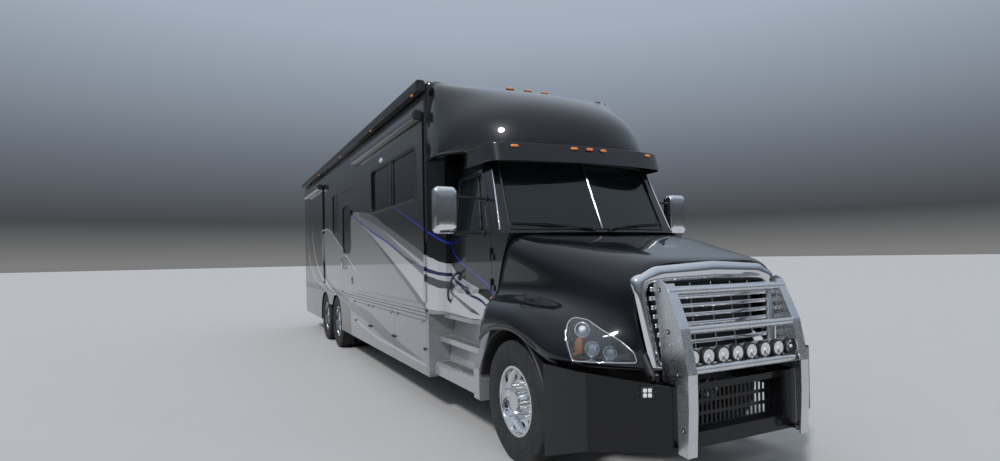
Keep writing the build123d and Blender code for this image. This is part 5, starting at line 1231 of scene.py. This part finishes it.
# %% Bolts and work lamps
BOLTS = ((-1.229, 1.513), (-1.313, 1.221), (-1.403, .935), (-1.446, .560))
WASHER = [(.602, 0), (.602, .019), (.6115, .019), (.613, .017), (.613, 0)]
BOLT = [(.612, 0), (.612, .010), (.618, .010), (.620, .008), (.620, 0)]
washer_parts = [turned(WASHER, (0, y, z), 32) for y, z in BOLTS]
bolt_parts = [turned(BOLT, (0, y, z), 24) for y, z in BOLTS]
piece("guard_washers", washer_parts + mirror_x(washer_parts), "guard", "dark_trim")
piece("guard_bolts", bolt_parts + mirror_x(bolt_parts), "guard", "chrome")
WING = math.atan2(.265, .535)
lamp_at = np.array([.790, -1.290, .813])
across = np.array([math.cos(WING), math.sin(WING), 0])
forward = np.array([math.sin(WING), -math.cos(WING), 0])
work_case = [pebble(lamp_at, (.047, .014, .044), power=.22, rows=24, columns=40, turn=WING)]
work_case += [pebble(lamp_at + across * s * .060, (.009, .010, .009), turn=WING) for s in (-1, 1)]
work_lens = [pebble(lamp_at + forward * .012 + across * s * .017 + [0, 0, t * .017], (.014, .006, .014),
                    power=.4, turn=WING) for s in (-1, 1) for t in (-1, 1)]
piece("work_lamp_cases", work_case + mirror_x(work_case), "chassis", "dark_trim")
piece("work_lamp_lenses", work_lens + mirror_x(work_lens), "chassis", "white_lens")
print("driving lamps", len(LAMP_XS))

# %% [markdown]
# ## Trims on the house
# Amber lamps hang under the awning's case, oval latches lock the luggage doors, and the slide
# covers turn in black end plates. All are rounded blocks, set on the surface that carries them.

# %% Side trims
ambers = [pebble((-1.372, y, 3.688), (.016, .045, .014)) for y in (2.10, 4.16, 6.56, 9.10, 11.60)]
ambers += [pebble((1.292, y, 3.640), (.014, .045, .016)) for y in (2.10, 4.16, 6.56, 9.10, 11.60)]
ambers += [pebble((side * 1.289, y, .62), (.008, .036, .016)) for side in (-1, 1) for y in (6.62, 10.40)]
piece("side_ambers", ambers, "chassis", "amber_lens", weld=1e-5)
LATCHES = [("luggage_door_right_1", -1, (2.02, 3.313)), ("luggage_door_right_2", -1, (3.41, 4.700)),
           ("luggage_door_right_3", -1, (4.80, 5.817)), ("luggage_door_left_1", 1, (2.10, 3.90)),
           ("luggage_door_left_2", 1, (4.16, 5.95))]
for name, side, places in LATCHES:
    ovals = [pebble((side * 1.299, y, .716), (.009, .032, .019), power=.85) for y in places]
    tongues = [pebble((side * 1.307, y, .716), (.004, .018, .008), power=.5) for y in places]
    piece("latch_" + name[13:], ovals + tongues, name, "dark_trim", weld=1e-5)
TOPPERS = [("slide_front", -1, 1.958, 5.482), ("slide_rear", -1, 9.128, 11.512),
           ("slide_left", 1, 2.568, 8.282)]
for name, side, y0, y1 in TOPPERS:
    caps = [pebble((side * 1.355, y, 3.430), (.058, .014, .060), power=.55, rows=20, columns=36)
            for y in (y0 + .012, y1 - .012)]
    tube = [bar([(side * 1.362, y0 + .02, 3.428), (side * 1.362, (y0 + y1) / 2, 3.428),
                 (side * 1.362, y1 - .02, 3.428)], .050, 28)]
    piece("cover_caps_" + name[6:], caps, name, "dark_trim", weld=1e-5)
    piece("cover_roll_" + name[6:], tube, name, "awning_cloth")
porch = [pebble((-1.314, 3.84, 3.200), (.012, .070, .030), power=.5, rows=20, columns=36)]
piece("porch_lamp_right", porch, "slide_front", "white_lens", weld=1e-5)
rail = bar(smooth_line([(-1.292, 6.800, 1.600), (-1.330, 6.800, 1.602), (-1.336, 6.800, 1.66),
                        (-1.336, 6.800, 1.78), (-1.330, 6.800, 1.838), (-1.292, 6.800, 1.840)], 40),
           .014, 14)
feet = [pebble((-1.290, 6.800, z), (.010, .026, .026)) for z in (1.600, 1.840)]
piece("entry_pull", [rail] + feet, "entry_door", "chrome")
strip = [box((side * 1.2895, side * 1.279), (1.904, 1.952), (1.96, 3.690), .003) for side in (-1, 1)]
piece("corner_strips", strip, "chassis", "dark_trim", smooth=False)
print("latches", sum(len(places) for _, _, places in LATCHES))

# %% Treads of the cab steps
def tread(side, x, y, z):
    """A chequered plate: rows of low ribs, z = t max(0, sin(2 pi y / pitch)) between its ends."""
    u = np.linspace(x[0], x[1], 9)[:, None]
    v = np.linspace(y[0], y[1], 220)[None]
    edge = np.clip(np.minimum(u - x[0], x[1] - u) / .012, 0, 1)
    edge = edge * np.clip(np.minimum(v - y[0], y[1] - v) / .012, 0, 1)
    lift = z + .007 * np.sqrt(edge) + .004 * np.maximum(0, np.sin(2 * np.pi * v / .028)) * (edge >= 1)
    points = np.stack([side * (u + 0 * v), v + 0 * u, lift], -1)
    return points.reshape(-1, 3), grid_faces(9, 220)


for side, name in ((-1, "right"), (1, "left")):
    treads = [tread(side, x, (.72, 1.80), z) for x, z in (((1.050, 1.186), .584), ((1.016, 1.146), .868))]
    plates = piece("step_treads_" + name, treads, "chassis", "tread_plate", weld=1e-6)
    if side > 0:
        plates.data.flip_normals()
print("treads per side", len(treads))

# %% [markdown]
# ## The rear wall
# A painted panel framed by a moulding, with a column of round lamps at each edge, a bare plate
# holder and marker lamps along the top. The panel stands 12 mm inside the moulding, so the lamps
# fit within the wall's own thickness.

# %% Rear panel, moulding and lamps
def rear_frame(x, z, y0, y1, wide):
    """A rectangular ring on the rear wall with eased edges, wide in its plane."""
    outline = rounded_rectangle((x[1] - x[0]) / 2, (z[1] - z[0]) / 2, .030)
    middle = np.array([(x[0] + x[1]) / 2, (z[0] + z[1]) / 2])
    inner = rounded_rectangle((x[1] - x[0]) / 2 - wide, (z[1] - z[0]) / 2 - wide, .020)
    rows = [(outline, y0), (outline, y1 - .004), (outline * .9985, y1), (inner * 1.0015, y1),
            (inner, y1 - .004), (inner, y0)]
    points = np.stack([np.stack([r[:, 0] + middle[0], y + 0 * r[:, 0], r[:, 1] + middle[1]], -1)
                       for r, y in rows], 1)
    return points.reshape(-1, 3), grid_faces(len(outline), len(rows), True, True)


panel = [box((-1.284, 1.284), (12.162, 12.208), (.560, 3.738), .004)]
panel += [box((side * .58, side * 1.284), (12.162, 12.208), (.432, .562), .003) for side in (-1, 1)]
wall = piece("rear_panel", panel, "chassis", "side_paint", smooth=False)
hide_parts("rear_wall")
moulding = [rear_frame((-1.285, 1.285), (1.050, 3.740), 12.200, 12.220, .050)]
piece("rear_moulding", moulding, "chassis", "dark_trim")
reds, whites, bezels = [], [], []
for side in (-1, 1):
    for z, kind in ((1.30, "red"), (1.48, "red"), (1.66, "white")):
        bezels.append(turned([(12.205, 0), (12.205, .082), (12.216, .080), (12.2175, .074), (12.212, .070),
                              (12.212, 0)], (side * 1.12, 0, z), 48, "y"))
        dome = turned([(12.210, 0), (12.210, .068), (12.2150, .066), (12.2185, .045), (12.2195, .0)],
                      (side * 1.12, 0, z), 48, "y")
        (whites if kind == "white" else reds).append(dome)
top = [pebble((x, 12.212, 3.640), (.040, .0075, .016)) for x in (-.22, 0, .22, -1.10, 1.10)]
piece("rear_lamp_bezels", bezels, "chassis", "chrome")
piece("rear_lamps_red", reds + top, "chassis", "red_lens")
piece("rear_lamps_white", whites, "chassis", "white_lens")
plate = [box((-.27, .27), (12.206, 12.2105), (1.10, 1.26), .006)]
piece("plate_holder", plate, "chassis", "dark_trim", smooth=False)
print("rear lamps", len(reds) + len(whites))

# %% [markdown]
# ## Roof units
# Each air conditioner is a ribbed hood over a base; the vents are low lids. A cooler hood is a
# rounded block whose sides lean in, with louvres cut across its back.

# %% Cooler hoods and vents
def cooler(y, half_x, half_y, foot, height):
    """A rounded block of half sizes that shrinks by 24 % towards its top, with louvres along its
    flanks: the half width swings by 6 mm times sin(2 pi z / 30 mm) over the middle heights."""
    p, faces = pebble((0, 0, 0), (1, 1, 1), .30, 64, 120)
    h = (p[:, 2] + 1) / 2
    shrink = 1 - 0.24 * h
    flank = np.clip((h - .2) / .05, 0, 1) * np.clip((.62 - h) / .05, 0, 1)
    swing = .006 * np.sin(2 * np.pi * h * height / .030) * flank
    x = p[:, 0] * (half_x * shrink + swing - .006)
    y = y + p[:, 1] * (half_y * shrink + swing - .006) - .02 * h
    return np.stack([x, y, foot + h * height], -1), faces


hoods = [cooler(y, .340, .500, 3.822, .226) for y in (3.400, 6.900, 10.300)]
hood_piece = piece("cooler_hoods", hoods, "chassis", "roof_skin")
lids = [(np.stack([x + .198 * p[:, 0], y + .198 * p[:, 1], 3.822 + .086 * (p[:, 2] + 1) / 2], -1), f)
        for x, y in ((.5, 5.1), (-.5, 8.6)) for p, f in [pebble((0, 0, 0), (1, 1, 1), .28, 40, 80)]]
piece("vent_lids", lids, "chassis", "roof_skin")
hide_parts("roof_units")
print("roof forms", len(hoods) + len(lids))
# %% [markdown]
# ## The studio
# A pale floor, one soft high lamp on the camera's side, and a sky that is bright above and dim
# at the horizon, because glossy paint shows what is around it. Glossy black shows a broad lamp as
# a white blot, so the lamp is far away and its disc is small.

# %% Floor, light and sky
def set_stage():
    """A wide, pale, matt floor."""
    f = finish("stage_floor", (0.52, 0.51, 0.50), 0.8, grain=20, vary=0.01)
    points = np.array([(-180, -180, 0), (180, -180, 0), (180, 180, 0), (-180, 180, 0)], float)
    mesh = bpy.data.meshes.new("stage_floor")
    mesh.from_pydata(points.tolist(), [], [(0, 1, 2, 3)])
    mesh.materials.append(f.material)
    floor = bpy.data.objects.new("stage_floor", mesh)
    bpy.context.scene.collection.objects.link(floor)


def soft_sun(name, place, spread, strength):
    """A far lamp that shines from a place towards the origin; spread is its disc's angle."""
    light = bpy.data.lights.new(name, "SUN")
    light.angle, light.energy = math.radians(spread), strength
    lamp = bpy.data.objects.new(name, light)
    bpy.context.scene.collection.objects.link(lamp)
    lamp.rotation_euler = (-Vector(place)).to_track_quat("-Z", "Y").to_euler()


def set_sky():
    """The world's light over height: dim at the horizon, as dark ground and trees are in the side
    of a glossy car, and a plain cool grey overhead."""
    world = bpy.data.worlds.new("studio_sky")
    bpy.context.scene.world = world
    world.use_nodes = True
    tree = world.node_tree
    where = tree.nodes.new("ShaderNodeTexCoord")
    split = tree.nodes.new("ShaderNodeSeparateXYZ")
    ramp = tree.nodes.new("ShaderNodeValToRGB")
    tree.links.new(where.outputs["Generated"], split.inputs[0])
    lift = tree.nodes.new("ShaderNodeMapRange")
    lift.inputs["From Min"].default_value = -1.0
    tree.links.new(split.outputs[2], lift.inputs["Value"])
    tree.links.new(lift.outputs[0], ramp.inputs[0])
    stops = [(0.0, (0.20, 0.20, 0.20)), (0.50, (0.20, 0.20, 0.20)), (0.53, (0.06, 0.065, 0.07)),
             (0.58, (0.14, 0.16, 0.19)), (0.68, (0.36, 0.42, 0.50)), (1.0, (0.66, 0.72, 0.80))]
    ramp.color_ramp.elements[0].position = stops[0][0]
    ramp.color_ramp.elements[1].position = stops[-1][0]
    for place, colour in stops[1:-1]:
        ramp.color_ramp.elements.new(place)
    for element, (place, colour) in zip(ramp.color_ramp.elements, stops):
        element.color = (*colour, 1.0)
    tree.links.new(ramp.outputs[0], tree.nodes["Background"].inputs[0])


set_stage()
set_sky()
soft_sun("key", (-9.0, -7.0, 12.0), 7.0, 1.9)
bpy.context.scene.view_settings.view_transform = "Standard"

# %% [markdown]
# ## The camera
# It stands at head height off the kerb-side front corner, with a wide lens. Its turn, tilt and
# roll come from the lines of the real vehicle in the picture.

# %% Place the camera
CAMERA_AT = (-3.436, -4.474 + AXLE, 1.772)
YAW, PITCH, ROLL = (math.radians(a) for a in (26.471, 0.671, -1.081))
FOCAL = 580.48 / 1000
MIDDLE = (0.50709, 0.24988)


def aim_camera():
    """A camera turned, tilted and rolled by the three angles, its frame shifted to MIDDLE."""
    ahead = np.array([math.sin(YAW) * math.cos(PITCH), math.cos(YAW) * math.cos(PITCH),
                      math.sin(PITCH)])
    right = np.array([math.cos(YAW), -math.sin(YAW), 0.0])
    up = np.cross(right, ahead)
    across = right * math.cos(ROLL) + up * math.sin(ROLL)
    upward = -right * math.sin(ROLL) + up * math.cos(ROLL)
    data = bpy.data.cameras.new("camera")
    data.sensor_width = 36.0
    data.lens = FOCAL * data.sensor_width
    data.shift_x = 0.5 - MIDDLE[0]
    data.shift_y = MIDDLE[1] - 0.461 / 2
    data.clip_start, data.clip_end = 0.05, 300.0
    camera = bpy.data.objects.new("camera", data)
    turn = Matrix([[across[i], upward[i], -ahead[i], CAMERA_AT[i]] for i in range(3)]
                  + [[0, 0, 0, 1]])
    camera.matrix_world = turn
    bpy.context.scene.collection.objects.link(camera)
    bpy.context.scene.camera = camera


aim_camera()
